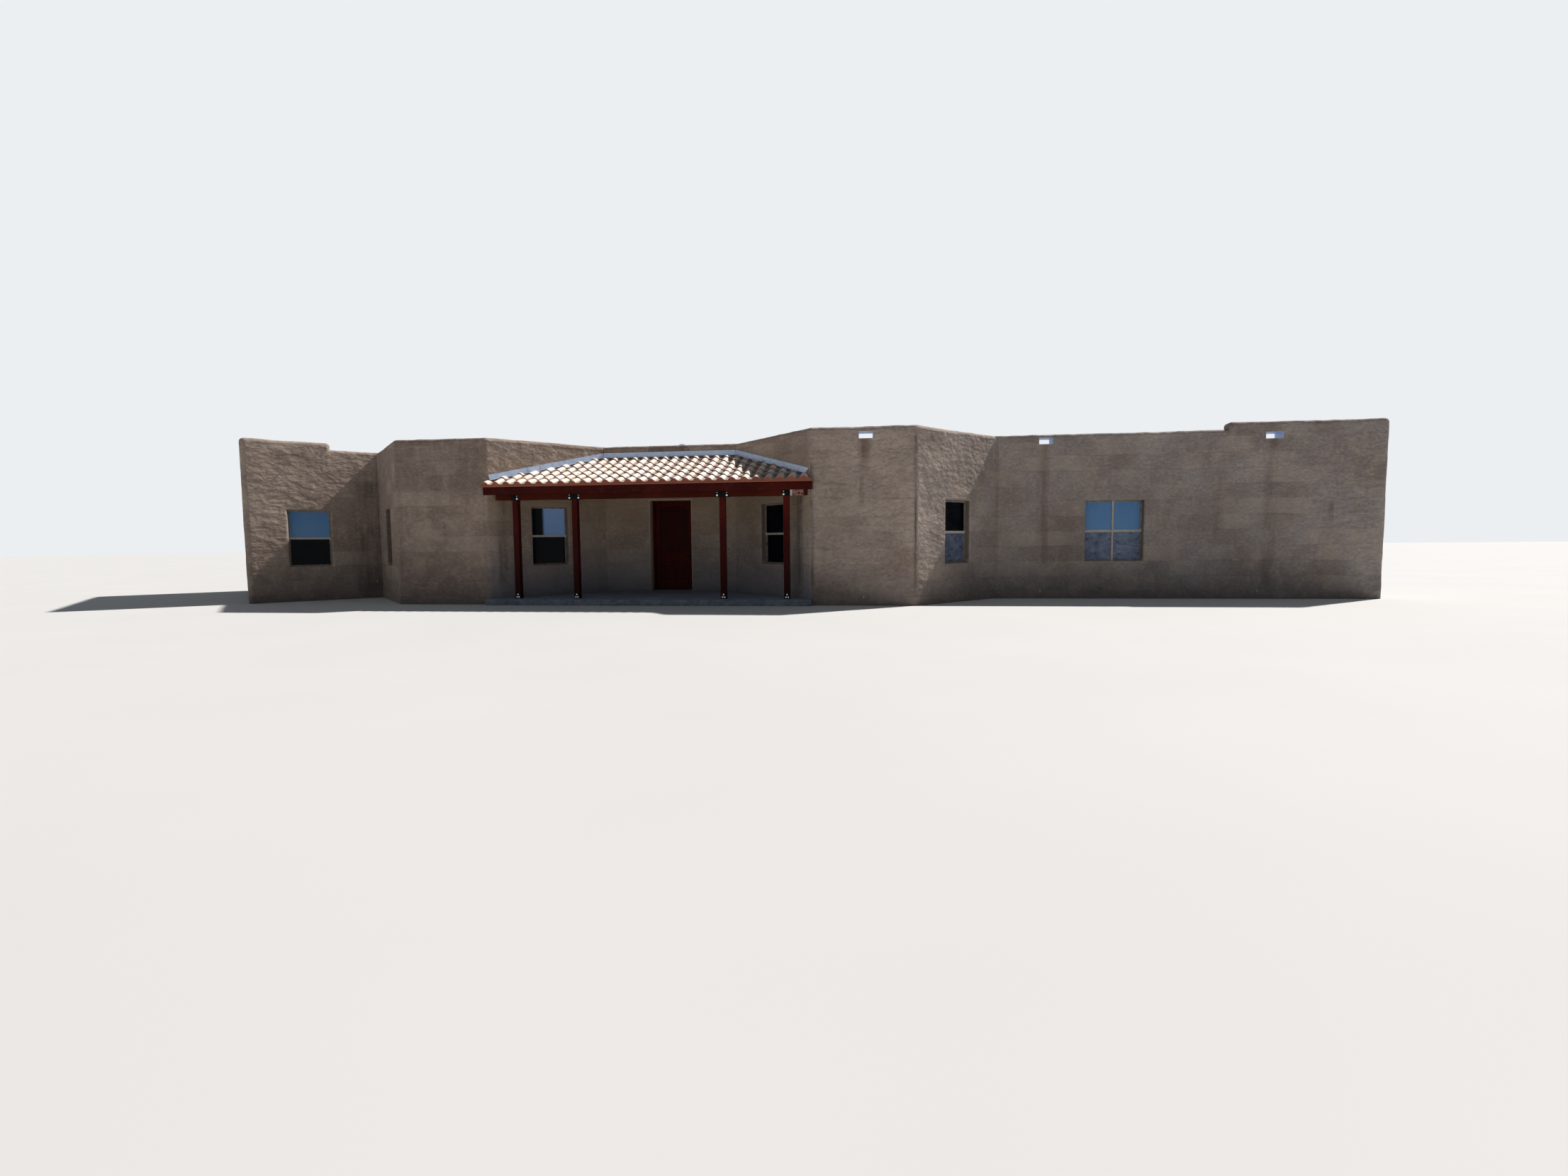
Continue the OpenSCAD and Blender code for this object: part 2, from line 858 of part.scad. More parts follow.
// Turns a side view, drawn as Y across and Z up, into a slab along X
module side_slab(x, width) {
    translate([x, 0, 0])
        rotate([90, 0, 90])
            linear_extrude(width)
                children();
}

module porch_rafters() {
    outer = beam_half - end_rafter;
    count = floor(2 * outer / rafter_pitch);
    pitch = 2 * outer / count;
    color(stain_tone)
        intersection() {
            for (k = [0 : count])
                side_slab(post_shift - outer - rafter_w / 2 + k * pitch, rafter_w)
                    rafter_section();
            translate([0, 0, beam_z])
                linear_extrude(parapet_high)
                    roof_plan(eave_y, fascia_half);
        }
}

module porch_fascia() {
    color(stain_tone)
        translate([-fascia_half, eave_y, fascia_top - fascia_h])
            cube([2 * fascia_half, fascia_t, fascia_h]);
}

// Sloping layer of the porch roof between two heights above the deck line
module roof_layer(front_y, half, z0, z1) {
    intersection() {
        side_slab(-half, 2 * half)
            polygon([[front_y, deck_z(front_y) + z0], [face_y, deck_z(face_y) + z0],
                [face_y, deck_z(face_y) + z1], [front_y, deck_z(front_y) + z1]]);
        translate([0, 0, beam_z])
            linear_extrude(parapet_high)
                roof_plan(front_y, half);
    }
}

module porch_roof_boards() {
    color(stain_tone)
        roof_layer(eave_y + fascia_t, fascia_half, -board_t, 0);
}

module porch_tile_bed() {
    color(tile_tone)
        roof_layer(eave_y - tile_over, fascia_half, bed_gap, tile_t);
}

// Section of the folded flashing: out from the wall, down and kicked out at its edge
module flashing_section() {
    kick = 8;
    polygon([[0, 0], [-flash_off, 0], [-flash_off, -flash_h + kick],
        [-flash_off - kick, -flash_h], [-flash_off - kick + sheet_t, -flash_h],
        [-flash_off + sheet_t, -flash_h + kick + sheet_t / 2],
        [-flash_off + sheet_t, -sheet_t], [0, -sheet_t]]);
}

// Straight flashing along a wall, rising by an angle from its start, its far end cut at a slant
module flashing(i, start, length, z, rise, slant = 0) {
    tool = 2 * flash_h;
    on_wall(i)
        translate([start, 0, z])
            rotate([0, -rise, 0])
                difference() {
                    rotate([90, 0, 90])
                        linear_extrude(length)
                            flashing_section();
                    if (slant > 0)
                        translate([length, 1 - tool, 0])
                            rotate([0, slant, 0])
                                translate([0, 0, -tool])
                                    cube([tool, tool, tool]);
                }
}

module side_flashings() {
    reach = wall_len(PORCH_LEFT) - flash_end - flash_gap;
    run_in = reach * sin(splay);
    rise = atan(pitch_rise * sin(splay));
    length = reach / cos(rise);
    low_z = flash_top - run_in * pitch_rise;
    color(zinc_tone) {
        flashing(PORCH_LEFT, flash_end, length, low_z, rise);
        flashing(PORCH_RIGHT, flash_gap, length + flash_gap, flash_top, -rise, flash_cut);
    }
}

module back_flashing() {
    color(zinc_tone)
        flashing(ENTRY, flash_gap, entry_w - 2 * flash_gap, flash_top, 0);
}

// Short pipe out of a wall, with an elbow that turns down when it has a drop
module stub(place, reach, drop, r) {
    on_wall(place[0])
        translate([place[1], 0, place[2]]) {
            rotate([90, 0, 0])
                cylinder(r = r, h = reach);
            if (drop > 0)
                translate([0, -reach, 0]) {
                    sphere(r = r);
                    translate([0, 0, -drop])
                        cylinder(r = r, h = drop);
                }
        }
}

module pipe_stubs() {
    color(brass_tone) {
        for (place = taps)
            stub(place, tap_reach, tap_drop, tap_r);
        for (place = conduits)
            stub(place, conduit_reach, 0, conduit_r);
    }
}

floor_slab();
porch_slab();
wing_front_wall();
left_return_wall();
left_bay_wall();
porch_left_wall();
entry_wall_left();
entry_wall_right();
entry_wall_head();
porch_right_wall();
right_bay_wall();
right_return_wall();
long_front_wall();
right_end_wall();
back_wall();
wing_back_wall();
wing_end_wall();
flat_roof();
roof_vent();
scupper_liners();
wing_window_frame();
return_window_frames();
porch_window_frames();
long_wall_window_frame();
rear_window_frames();
front_window_glass();
rear_window_glass();
door_jambs();
door_frame_head();
door_threshold();
front_door();
door_handles();
hinge_jamb_leaves();
hinge_door_leaves();
porch_posts();
post_bases();
post_caps();
porch_beam();
porch_rafters();
porch_fascia();
porch_roof_boards();
porch_tile_bed();
side_flashings();
back_flashing();
pipe_stubs();
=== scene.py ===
"""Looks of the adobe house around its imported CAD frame, in metres.

X runs to the right along the front, Y into the house and Z up, from the middle of the doorway.
"""
import math
import random

import bmesh
import bpy
from mathutils import Matrix, Vector, noise

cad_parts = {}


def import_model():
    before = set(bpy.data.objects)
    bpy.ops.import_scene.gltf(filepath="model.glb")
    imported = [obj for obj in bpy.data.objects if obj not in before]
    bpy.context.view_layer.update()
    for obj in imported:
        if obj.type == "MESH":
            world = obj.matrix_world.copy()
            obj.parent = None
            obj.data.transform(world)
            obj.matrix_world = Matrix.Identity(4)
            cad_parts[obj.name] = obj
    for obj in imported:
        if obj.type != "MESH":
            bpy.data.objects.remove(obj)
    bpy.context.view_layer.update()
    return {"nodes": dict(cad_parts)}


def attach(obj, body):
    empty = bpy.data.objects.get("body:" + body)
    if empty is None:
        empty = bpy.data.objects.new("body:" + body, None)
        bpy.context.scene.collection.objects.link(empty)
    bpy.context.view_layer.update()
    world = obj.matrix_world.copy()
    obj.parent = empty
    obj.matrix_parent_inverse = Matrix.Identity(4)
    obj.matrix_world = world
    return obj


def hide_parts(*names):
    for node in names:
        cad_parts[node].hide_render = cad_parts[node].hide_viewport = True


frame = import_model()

SEED = 7
noise.seed_set(SEED)

# The photo's camera
IMAGE_W = 2212
SENSOR = 36.0
FOCAL_PX = 956.26
CAMERA_AT = (5.431, -18.384, 1.514)
YAW, PITCH, ROLL = (math.radians(a) for a in (7.176, -3.897, -0.507))

# Plan of the house: each wall's starting corner, heading in degrees and length
SPLAY = 45
ENTRY_WALLS = ("entry_wall_left", "entry_wall_right", "entry_wall_head")
WALLS = {
    "wing_front_wall": (-10.845, -2.429, 45, 3.09),
    "left_return_wall": (-8.66, -0.244, -45, 3.01),
    "left_bay_wall": (-6.532, -2.372, 0, 2.48),
    "porch_left_wall": (-4.052, -2.372, 45, 3.1),
    **dict.fromkeys(ENTRY_WALLS, (-1.86, -0.18, 0, 3.72)),
    "porch_right_wall": (1.86, -0.18, -45, 3.1),
    "right_bay_wall": (4.052, -2.372, 0, 2.48),
    "right_return_wall": (6.532, -2.372, 45, 3.01),
    "long_front_wall": (8.66, -0.244, 0, 9.2),
    "right_end_wall": (17.86, -0.244, 90, 8.064),
    "back_wall": (17.86, 7.82, 180, 27.506),
    "wing_back_wall": (-9.646, 7.82, 225, 8.095),
    "wing_end_wall": (-15.37, 2.096, -45, 6.4),
}
REAR_WALLS = ("right_end_wall", "back_wall", "wing_back_wall", "wing_end_wall")
WALL_T = 0.36
FACE_Y = -0.18
RECESS_X, RECESS_Y = 4.052, -2.372
PARAPET_LOW = 4.18

# Openings as centre along the wall, width, sill and head
WINDOW_Z = (0.96, 2.484)
SINGLE, WING_SINGLE, WIDE = 0.934, 0.964, 1.4
DOORWAY = (1.86, 1.15, 0.0, 2.677)


def window(centre, width=SINGLE):
    return (centre, width, *WINDOW_Z)


OPENINGS = {
    "wing_front_wall": [window(1.422, WING_SINGLE)],
    "left_return_wall": [window(1.505)],
    "porch_left_wall": [window(1.57)],
    "porch_right_wall": [window(1.57)],
    "right_bay_wall": [(1.3, 0.33, 3.888, 4.053)],
    "right_return_wall": [window(1.505)],
    "long_front_wall": [window(2.94, WIDE), (1.23, 0.34, 3.93, 4.095), (6.6, 0.4, 3.93, 4.095)],
    **dict.fromkeys(ENTRY_WALLS, [DOORWAY]),
    "right_end_wall": [window(8.064 * k / 4) for k in (1, 3)],
    "back_wall": [window(27.506 * (k + 0.5) / 5, WIDE) for k in range(5)],
    "wing_back_wall": [window(8.095 * k / 4) for k in (1, 3)],
    "wing_end_wall": [window(3.2)],
}

# Porch roof
EAVE_Y = -2.44
DECK_TOP = 2.955
PITCH_RISE = 0.35
SLOPE = math.atan(PITCH_RISE)
FASCIA_HALF = 4.115
COURSE_H = 0.381
FLOOR_Z = 0.2


def srgb(*levels):
    """Linear colour of levels given as 0 to 255."""
    parts = [v / 255 for v in levels]
    return (*[p / 12.92 if p <= 0.04045 else ((p + 0.055) / 1.055) ** 2.4 for p in parts], 1.0)


def smoothstep(v, low, high):
    t = min(max((v - low) / (high - low), 0.0), 1.0)
    return t * t * (3 - 2 * t)


class Shader:
    """A material and short calls that add nodes to it."""

    def __init__(self, name, roughness=0.8, **settings):
        self.material = bpy.data.materials.new(name)
        self.material.use_nodes = True
        self.tree = self.material.node_tree
        self.bsdf = self.tree.nodes["Principled BSDF"]
        self.set("Roughness", roughness)
        for key, value in settings.items():
            self.set(key.replace("_", " "), value)

    def set(self, socket, value):
        self.feed(self.bsdf.inputs[socket], value)

    def feed(self, socket, value):
        if isinstance(value, bpy.types.NodeSocket):
            self.tree.links.new(value, socket)
        else:
            socket.default_value = value

    def node(self, kind, inputs=(), **settings):
        made = self.tree.nodes.new("ShaderNode" + kind)
        for key, value in settings.items():
            setattr(made, key, value)
        for key, value in dict(inputs).items():
            self.feed(made.inputs[key], value)
        return made

    def place(self):
        """Coordinates fixed to the object, in metres."""
        return self.node("TexCoord").outputs["Object"]

    def stretched(self, vector, scale, turn=0.0):
        inputs = {"Vector": vector, "Scale": scale, "Rotation": (0, 0, turn)}
        return self.node("Mapping", inputs).outputs["Vector"]

    def noise(self, vector, scale, detail=4.0, roughness=0.55, distortion=0.0):
        inputs = {"Vector": vector, "Scale": scale, "Detail": detail,
                  "Roughness": roughness, "Distortion": distortion}
        return self.node("TexNoise", inputs).outputs["Fac"]

    def cells(self, vector, scale):
        return self.node("TexVoronoi", {"Vector": vector, "Scale": scale}).outputs["Distance"]

    def math(self, operation, a, b=0.0):
        made = self.node("Math", operation=operation)
        self.feed(made.inputs[0], a)
        self.feed(made.inputs[1], b)
        return made.outputs[0]

    def times(self, a, b):
        return self.math("MULTIPLY", a, b)

    def less(self, a, b):
        return self.math("SUBTRACT", a, b)

    def remap(self, value, low, high, to_low=0.0, to_high=1.0):
        inputs = {"Value": value, "From Min": low, "From Max": high,
                  "To Min": to_low, "To Max": to_high}
        return self.node("MapRange", inputs, clamp=True).outputs["Result"]

    def mix(self, factor, a, b):
        made = self.node("Mix", data_type="RGBA")
        self.feed(made.inputs[0], factor)
        self.feed(made.inputs[6], a)
        self.feed(made.inputs[7], b)
        return made.outputs[2]

    def between(self, value, low, high, soft):
        """A mask that is one between two values and fades out over a soft distance."""
        return self.times(self.remap(value, low - soft, low),
                          self.remap(value, high, high + soft, 1.0, 0.0))

    def most(self, first, *others):
        return self.math("MAXIMUM", first, self.most(*others)) if others else first

    def axis(self, vector, name):
        return self.node("SeparateXYZ", {"Vector": vector}).outputs[name]

    def attribute(self, name):
        return self.node("Attribute", attribute_name=name).outputs["Fac"]

    def over(self, tone, colour, value, low, high, most=1.0):
        """Lays a colour over a tone where a value passes from low to high."""
        return self.mix(self.remap(value, low, high, 0.0, most), tone, colour)

    def finish(self, tone, roughness=None, normal=None):
        """Sets what varies over the surface, and gives the material."""
        for socket, value in (("Base Color", tone), ("Roughness", roughness), ("Normal", normal)):
            if value is not None:
                self.set(socket, value)
        return self.material

    def bump(self, height, distance, strength=1.0, normal=None):
        inputs = {"Height": height, "Distance": distance, "Strength": strength}
        if normal is not None:
            inputs["Normal"] = normal
        return self.node("Bump", inputs).outputs["Normal"]


STUCCO = srgb(163, 143, 130)
STUCCO_PALE = srgb(190, 173, 158)
STUCCO_DARK = srgb(122, 105, 94)
LONG_WALL_GREY = srgb(156, 152, 153)
LEFT_BAY_BROWN = srgb(142, 122, 111)
RIGHT_BAY_PALE = srgb(186, 168, 157)
# Painted light under the porch: a warm bounce at the top of the walls and a cool shade below
PORCH_WARM_BOUNCE = srgb(150, 128, 100)
PORCH_COOL_SHADE = srgb(132, 130, 138)
# Pale of washed-out patches, also the painted highlight along the openings' edges
EDGE_PALE = srgb(186, 170, 152)
# Dark of stains, joints and painted shade
STAIN_AND_SHADE_DARK = srgb(70, 62, 58)
STAIN_RED = srgb(104, 76, 64)
# Painted shade deep in the window reveals
REVEAL_SHADE = srgb(84, 72, 64)
BASE_GREY = srgb(76, 72, 74)
DUST = srgb(112, 100, 90)
# Stretches along X: the left and the right bay, and where the walls turn grey toward the right
LEFT_BAY_X = (-8.3, -4.2)
RIGHT_BAY_X = (4.2, 6.4)
GREYING_X = (3.6, 11.0)


def stucco():
    """Trowelled stucco: lumps, cloudy tone, faint block courses, run-off stains, a foot darkened
    by dirt and painted shade, and painted light and shade at openings, at the wing's inner corner,
    over the entry and under the porch.
    """
    m = Shader("stucco_trowelled", 0.93)
    at = m.place()
    height = m.axis(at, "Z")
    cloud = m.noise(at, 0.8, 3.0)
    patch = m.noise(at, 3.4, 5.0, 0.62)
    mottle = m.noise(m.stretched(at, (1.0, 1.0, 1.5)), 12.0, 4.0, 0.65)
    grit = m.noise(at, 70.0, 3.0, 0.7)
    lump = m.noise(m.stretched(at, (1.0, 1.0, 1.6)), 4.8, 1.7, 0.5, 0.15)
    dab = m.noise(m.stretched(at, (1.0, 1.0, 1.5)), 15.0, 2.0, 0.5)

    aside = m.axis(at, "X")
    browned = m.between(aside, *LEFT_BAY_X, 0.25)
    greyed = m.remap(m.math("ADD", aside, cloud), *GREYING_X, 0.15, 0.85)
    base = m.mix(greyed, STUCCO, LONG_WALL_GREY)
    base = m.mix(m.times(browned, 0.8), base, LEFT_BAY_BROWN)
    lifted = m.between(aside, *RIGHT_BAY_X, 0.25)
    base = m.mix(m.times(lifted, 0.7), base, RIGHT_BAY_PALE)
    tone = m.over(base, STUCCO_DARK, cloud, 0.36, 0.66, 0.6)
    tone = m.over(tone, STUCCO_PALE, patch, 0.46, 0.7, 0.45)
    tone = m.over(tone, STUCCO_DARK, mottle, 0.48, 0.7, 0.6)
    tone = m.over(tone, STUCCO_PALE, mottle, 0.47, 0.29, 0.55)

    # Block courses: each course has its own soft tone, with a faint broken line at its bed joint
    wander = m.times(m.less(m.noise(at, 1.3, 2.0), 0.5), 0.07)
    level = m.math("DIVIDE", m.less(m.math("ADD", height, wander), FLOOR_Z), COURSE_H)
    row = m.math("FLOOR", level)
    across = m.stretched(at, (0.55, 0.55, 0.0))
    rise = m.node("CombineXYZ", {"Z": row}).outputs[0]
    by_row = m.node("VectorMath", {0: across, 1: rise}, operation="ADD").outputs[0]
    block = m.noise(by_row, 1.7, 1.0)
    tone = m.over(tone, STUCCO_PALE, block, 0.5, 0.66, 0.32)
    tone = m.over(tone, STUCCO_DARK, block, 0.48, 0.32, 0.32)
    off_joint = m.math("ABSOLUTE", m.less(m.math("FRACT", level), 0.5))
    joint = m.remap(off_joint, 0.43, 0.5)
    broken = m.remap(m.noise(m.stretched(at, (0.6, 0.6, 2.6)), 1.6, 3.0), 0.48, 0.66, 0.0, 0.26)
    tone = m.mix(m.times(joint, broken), tone, STAIN_AND_SHADE_DARK)

    # Under the porch the wall is painted warm at the top, as light thrown back by the roof's
    # underside, and cool grey below, as painted shade
    sheltered = m.attribute("sheltered")
    warm = m.times(sheltered, m.between(height, 2.6, 2.8, 1.1))
    cool = m.times(sheltered, m.remap(height, 1.5, 0.3, 0.0, 0.8))
    tone = m.mix(m.times(warm, 0.7), tone, PORCH_WARM_BOUNCE)
    tone = m.mix(cool, tone, PORCH_COOL_SHADE)

    # Stains below the scuppers and at some joints, dark bands down some corners, and painted shade
    # at the wing's inner corner and on the entry's head wall
    streaked = m.noise(m.stretched(at, (9.0, 9.0, 0.9)), 1.0, 5.0, 0.65)
    stain_and_shade = m.times(m.attribute("stain_and_shade"), m.remap(streaked, 0.34, 0.62, 0.25, 1.0))
    tone = m.mix(m.times(stain_and_shade, 0.8), tone, STAIN_AND_SHADE_DARK)
    rust = m.times(m.attribute("rust"), m.remap(streaked, 0.3, 0.6, 0.3, 1.0))
    tone = m.mix(m.times(rust, 0.8), tone, STAIN_RED)
    # Painted shade deep in the window reveals
    tone = m.mix(m.attribute("reveal_shade"), tone, REVEAL_SHADE)
    # Pale patches, and painted highlights along the openings' edges and on the sills, with dust
    # there
    tone = m.mix(m.attribute("pale"), tone, EDGE_PALE)

    # Darker grey near the ground: splashed dirt and dampness, and painted shade
    ragged = m.math("ADD", height, m.times(m.less(patch, 0.5), 0.6))
    open_air = m.remap(sheltered, 0.0, 1.0, 1.0, 0.2)
    damp_and_shade = m.times(m.remap(ragged, 0.15, 1.05, 0.42, 0.0), open_air)
    tone = m.mix(damp_and_shade, tone, BASE_GREY)
    tone = m.mix(m.remap(ragged, 0.0, 0.14, 0.5, 0.0), tone, DUST)
    tone = m.over(tone, STUCCO_DARK, grit, 0.35, 0.75, 0.18)
    relief = m.bump(dab, 0.008, 0.8, m.bump(lump, 0.042, 0.9))
    return m.finish(tone, m.remap(patch, 0.3, 0.7, 0.88, 0.97), m.bump(grit, 0.003, 0.5, relief))


PIT_DARK = srgb(38, 38, 42)
# Where the porch slab turns paler toward its broken front
PALE_FRONT_Y = (-2.44, -2.53)


def concrete(name, dark, light, dirt_tone, front=None):
    """Floated concrete with clouds of dirt, pits from missing grains, and a paler broken front."""
    m = Shader(name, 0.9)
    at = m.place()
    cloud = m.noise(at, 0.9, 4.0)
    speck = m.noise(at, 55.0, 3.0, 0.7)
    pits = m.remap(m.cells(at, 38.0), 0.1, 0.22, 1.0, 0.0)
    tone = m.mix(m.remap(cloud, 0.35, 0.7), dark, light)
    dirt = m.remap(m.noise(at, 3.2, 5.0, 0.65), 0.48, 0.72, 0.0, 0.6)
    tone = m.mix(dirt, tone, dirt_tone)
    tone = m.over(tone, dark, speck, 0.3, 0.75, 0.3)
    tone = m.mix(m.times(pits, 0.35), tone, PIT_DARK)
    if front:
        forward = m.math("ADD", m.axis(at, "Y"), m.times(cloud, 0.1))
        broken = m.remap(m.noise(at, 6.0, 5.0, 0.7), 0.36, 0.6, 0.35, 1.0)
        tone = m.mix(m.times(m.remap(forward, *PALE_FRONT_Y), broken), tone, front)
    swell = m.bump(m.noise(at, 9.0, 5.0), 0.02, 0.6)
    return m.finish(tone, normal=m.bump(speck, 0.004, 0.7, swell))


ROOF_DARK, ROOF_PALE = srgb(156, 151, 143), srgb(178, 175, 168)
ROOF_DIRT, ROOF_LAP = srgb(120, 108, 92), srgb(98, 92, 84)


def roof_coating():
    """Roof sheeting with patches where water stands, dirt and laps."""
    m = Shader("roof_coating", 0.8)
    at = m.place()
    ponding = m.noise(at, 0.6, 4.0, 0.6)
    grain = m.noise(at, 60.0, 3.0, 0.7)
    tone = m.mix(m.remap(ponding, 0.4, 0.65), ROOF_DARK, ROOF_PALE)
    tone = m.over(tone, ROOF_DIRT, m.noise(at, 4.0, 5.0, 0.7), 0.52, 0.8, 0.5)
    # Laps between the rolled sheets, one metre apart
    lap = m.math("ABSOLUTE", m.less(m.math("FRACT", m.axis(at, "Y")), 0.5))
    tone = m.over(tone, ROOF_LAP, lap, 0.485, 0.5, 0.35)
    return m.finish(tone, normal=m.bump(grain, 0.003, 0.5))


# Panels of the front door: half their width, foot and top of the square one, and the upper one's
# foot and arch; then the width and tone of their mouldings
PANEL_HALF = 0.389
LOWER_PANEL = (0.475, 1.004)
UPPER_PANEL = 1.25
ARCH_PEAK, ARCH_R = 2.525, 0.895
MOULD_W = 0.02
# Painted shade in the grooves along the door's mouldings
DOOR_GROOVE_SHADE = srgb(14, 2, 2)


def door_panels(m, at):
    """Masks of the front door's panels and of their borders."""
    across, height = m.axis(at, "X"), m.axis(at, "Z")
    out = m.less(m.math("ABSOLUTE", across), PANEL_HALF)
    below = m.less(UPPER_PANEL, height)
    over_centre = m.less(height, ARCH_PEAK - ARCH_R)
    round_at = m.node("CombineXYZ", {"X": across, "Z": over_centre}).outputs[0]
    far = m.node("VectorMath", {0: round_at}, operation="LENGTH").outputs["Value"]
    upper = m.most(out, below, m.less(far, ARCH_R))
    lower = m.most(out, m.less(LOWER_PANEL[0], height),
                   m.less(height, LOWER_PANEL[1]))
    edge = m.math("MINIMUM", upper, lower)
    return m.remap(edge, 0.0, -0.004), m.between(edge, -MOULD_W, 0.0, 0.004)


BLEACHED = srgb(122, 78, 60)
BARE_WOOD, BARE_END = srgb(168, 132, 120), srgb(220, 212, 206)
# Heights from which the posts darken, and below which they are darkest, as painted shade
POST_SHADE_HEIGHTS = (2.3, 0.3)


def wood(name, dark, base, light, along, roughness=0.55, bleach=0.0, peeled=None, foot=None,
         panels=False):
    """Stained timber with its grain along one axis: 0 for X, 1 for Y and 2 for Z."""
    m = Shader(name, roughness, Specular_IOR_Level=0.06)
    at = m.place()
    stretch = [14.0, 14.0, 14.0]
    stretch[along] = 0.9
    bands = m.noise(m.stretched(at, stretch), 1.0, 6.0, 0.62, 0.6)
    fibre = m.noise(m.stretched(at, [s * 9 for s in stretch]), 1.0, 3.0, 0.6)
    cloud = m.noise(at, 1.1, 4.0)
    tone = m.mix(m.remap(bands, 0.3, 0.72), dark, base)
    tone = m.over(tone, light, cloud, 0.42, 0.7, 0.7)
    tone = m.over(tone, dark, fibre, 0.35, 0.75, 0.35)
    if bleach:
        tone = m.over(tone, BLEACHED, m.noise(at, 5.0, 5.0, 0.7), 0.56, 0.74, bleach)
    if panels:
        # The door's panels are painted darker than its frame, and darkest along their mouldings,
        # as shade in the recesses
        inner, border = door_panels(m, at)
        tone = m.mix(m.times(inner, 0.55), tone, dark)
        tone = m.mix(m.times(border, 0.8), tone, DOOR_GROOVE_SHADE)
    if foot:
        # Darker toward the ground, as painted shade
        tone = m.over(tone, foot, m.axis(at, "Z"), *POST_SHADE_HEIGHTS, 0.85)
    if peeled:
        # Bare, peeled stretch of the beam between two places along it
        across = m.axis(at, "X")
        flakes = m.remap(m.noise(at, 22.0, 5.0, 0.7), 0.4, 0.54)
        bare = m.times(m.between(across, peeled[0] + 0.04, peeled[1], 0.05), flakes)
        tone = m.mix(bare, tone, BARE_WOOD)
        end = m.between(across, peeled[0], peeled[0] + 0.03, 0.012)
        tone = m.mix(end, tone, BARE_END)
    return m.finish(tone, m.remap(bands, 0.3, 0.7, roughness - 0.08, roughness + 0.18),
                    m.bump(fibre, 0.0012, 0.6, m.bump(bands, 0.003, 0.5)))


def galvanised():
    """Zinc-coated sheet with spangle, clouds and run-off streaks."""
    m = Shader("galvanised_sheet", 0.5, Metallic=0.15)
    at = m.place()
    spangle = m.cells(at, 34.0)
    cloud = m.noise(at, 5.0, 5.0, 0.65)
    tone = m.mix(m.remap(cloud, 0.35, 0.7), srgb(180, 202, 236), srgb(218, 232, 252))
    tone = m.over(tone, srgb(146, 164, 192), spangle, 0.2, 0.8, 0.3)
    streak = m.noise(m.stretched(at, (16, 16, 1.2)), 1.0, 4.0, 0.6)
    tone = m.over(tone, srgb(112, 124, 144), streak, 0.6, 0.78, 0.55)
    return m.finish(tone, m.remap(cloud, 0.3, 0.7, 0.36, 0.62),
                    m.bump(m.noise(at, 6.0, 3.0), 0.006, 0.5))


# Heights of the meeting rails and place of the paired window's mullion, which are painted lighter,
# as lit
RAILS = (1.69, 1.755)
MULLION_X = (11.578, 11.622)


def window_vinyl():
    """Chalky window frames with grime, darkened as painted shade but for the meeting rails and the
    mullion, painted lighter as lit.
    """
    m = Shader("window_frame_enamel", 0.5, Specular_IOR_Level=0.2)
    at = m.place()
    grime = m.noise(at, 9.0, 5.0, 0.7)
    clean_and_lit = m.mix(m.remap(grime, 0.45, 0.75, 0.0, 0.5), srgb(196, 188, 180), srgb(142, 130, 120))
    grimy_and_shaded = m.mix(m.remap(grime, 0.4, 0.72), srgb(152, 142, 132), srgb(110, 98, 90))
    rail = m.between(m.axis(at, "Z"), *RAILS, 0.002)
    mullion = m.between(m.axis(at, "X"), *MULLION_X, 0.002)
    return m.finish(m.mix(m.most(rail, mullion), grimy_and_shaded, clean_and_lit),
                    m.remap(grime, 0.3, 0.7, 0.38, 0.62),
                    m.bump(m.noise(at, 180.0, 2.0), 0.0006, 0.4))


# Stretches along X where the upper panes mirror the sky and the lower ones look grey
SKY_PANES = ((-10.5, -9.2), (-3.13, -2.5), (10.8, 12.4))
PORCH_PANE = (-3.4, -2.3)
PANE_SPLIT = 1.722
PANE_FADE = (1.75, 2.44)
SKY_LOW, SKY_HIGH = srgb(112, 156, 204), srgb(96, 142, 194)
SKY_SMEAR, SKY_PORCH = srgb(124, 158, 196), srgb(152, 192, 250)
PANE_DARK, PANE_DUST = srgb(4, 7, 14), srgb(20, 26, 40)
REAR_SKY = 0.7


def glass(front):
    """Dark glazing: bluish where the upper panes mirror the sky, almost black elsewhere."""
    name = "front_glazing" if front else "rear_glazing"
    m = Shader(name, 0.08, Specular_IOR_Level=0.05, Alpha=0.985)
    at = m.place()
    dust = m.noise(at, 3.2, 5.0, 0.65)
    smear = m.noise(m.stretched(at, (1.0, 1.0, 0.4)), 6.0, 4.0, 0.6)
    across, height = m.axis(at, "X"), m.axis(at, "Z")
    upper = m.remap(height, PANE_SPLIT, PANE_SPLIT + 0.01)
    sky = m.mix(m.remap(height, *PANE_FADE), SKY_LOW, SKY_HIGH)
    sky = m.over(sky, SKY_SMEAR, smear, 0.45, 0.72, 0.35)
    dark = m.over(PANE_DARK, PANE_DUST, dust, 0.42, 0.7, 0.5)
    if front:
        mirrors = m.most(*[m.between(across, low, high, 0.05) for low, high in SKY_PANES])
        porch = m.between(across, *PORCH_PANE, 0.05)
        sky = m.mix(porch, sky, SKY_PORCH)
        bright = m.times(upper, mirrors)
    else:
        bright = m.times(upper, REAR_SKY)
    return m.finish(m.mix(bright, dark, sky), m.remap(dust, 0.35, 0.7, 0.05, 0.2),
                    m.bump(m.noise(at, 1.6, 2.0), 0.002, 0.25))


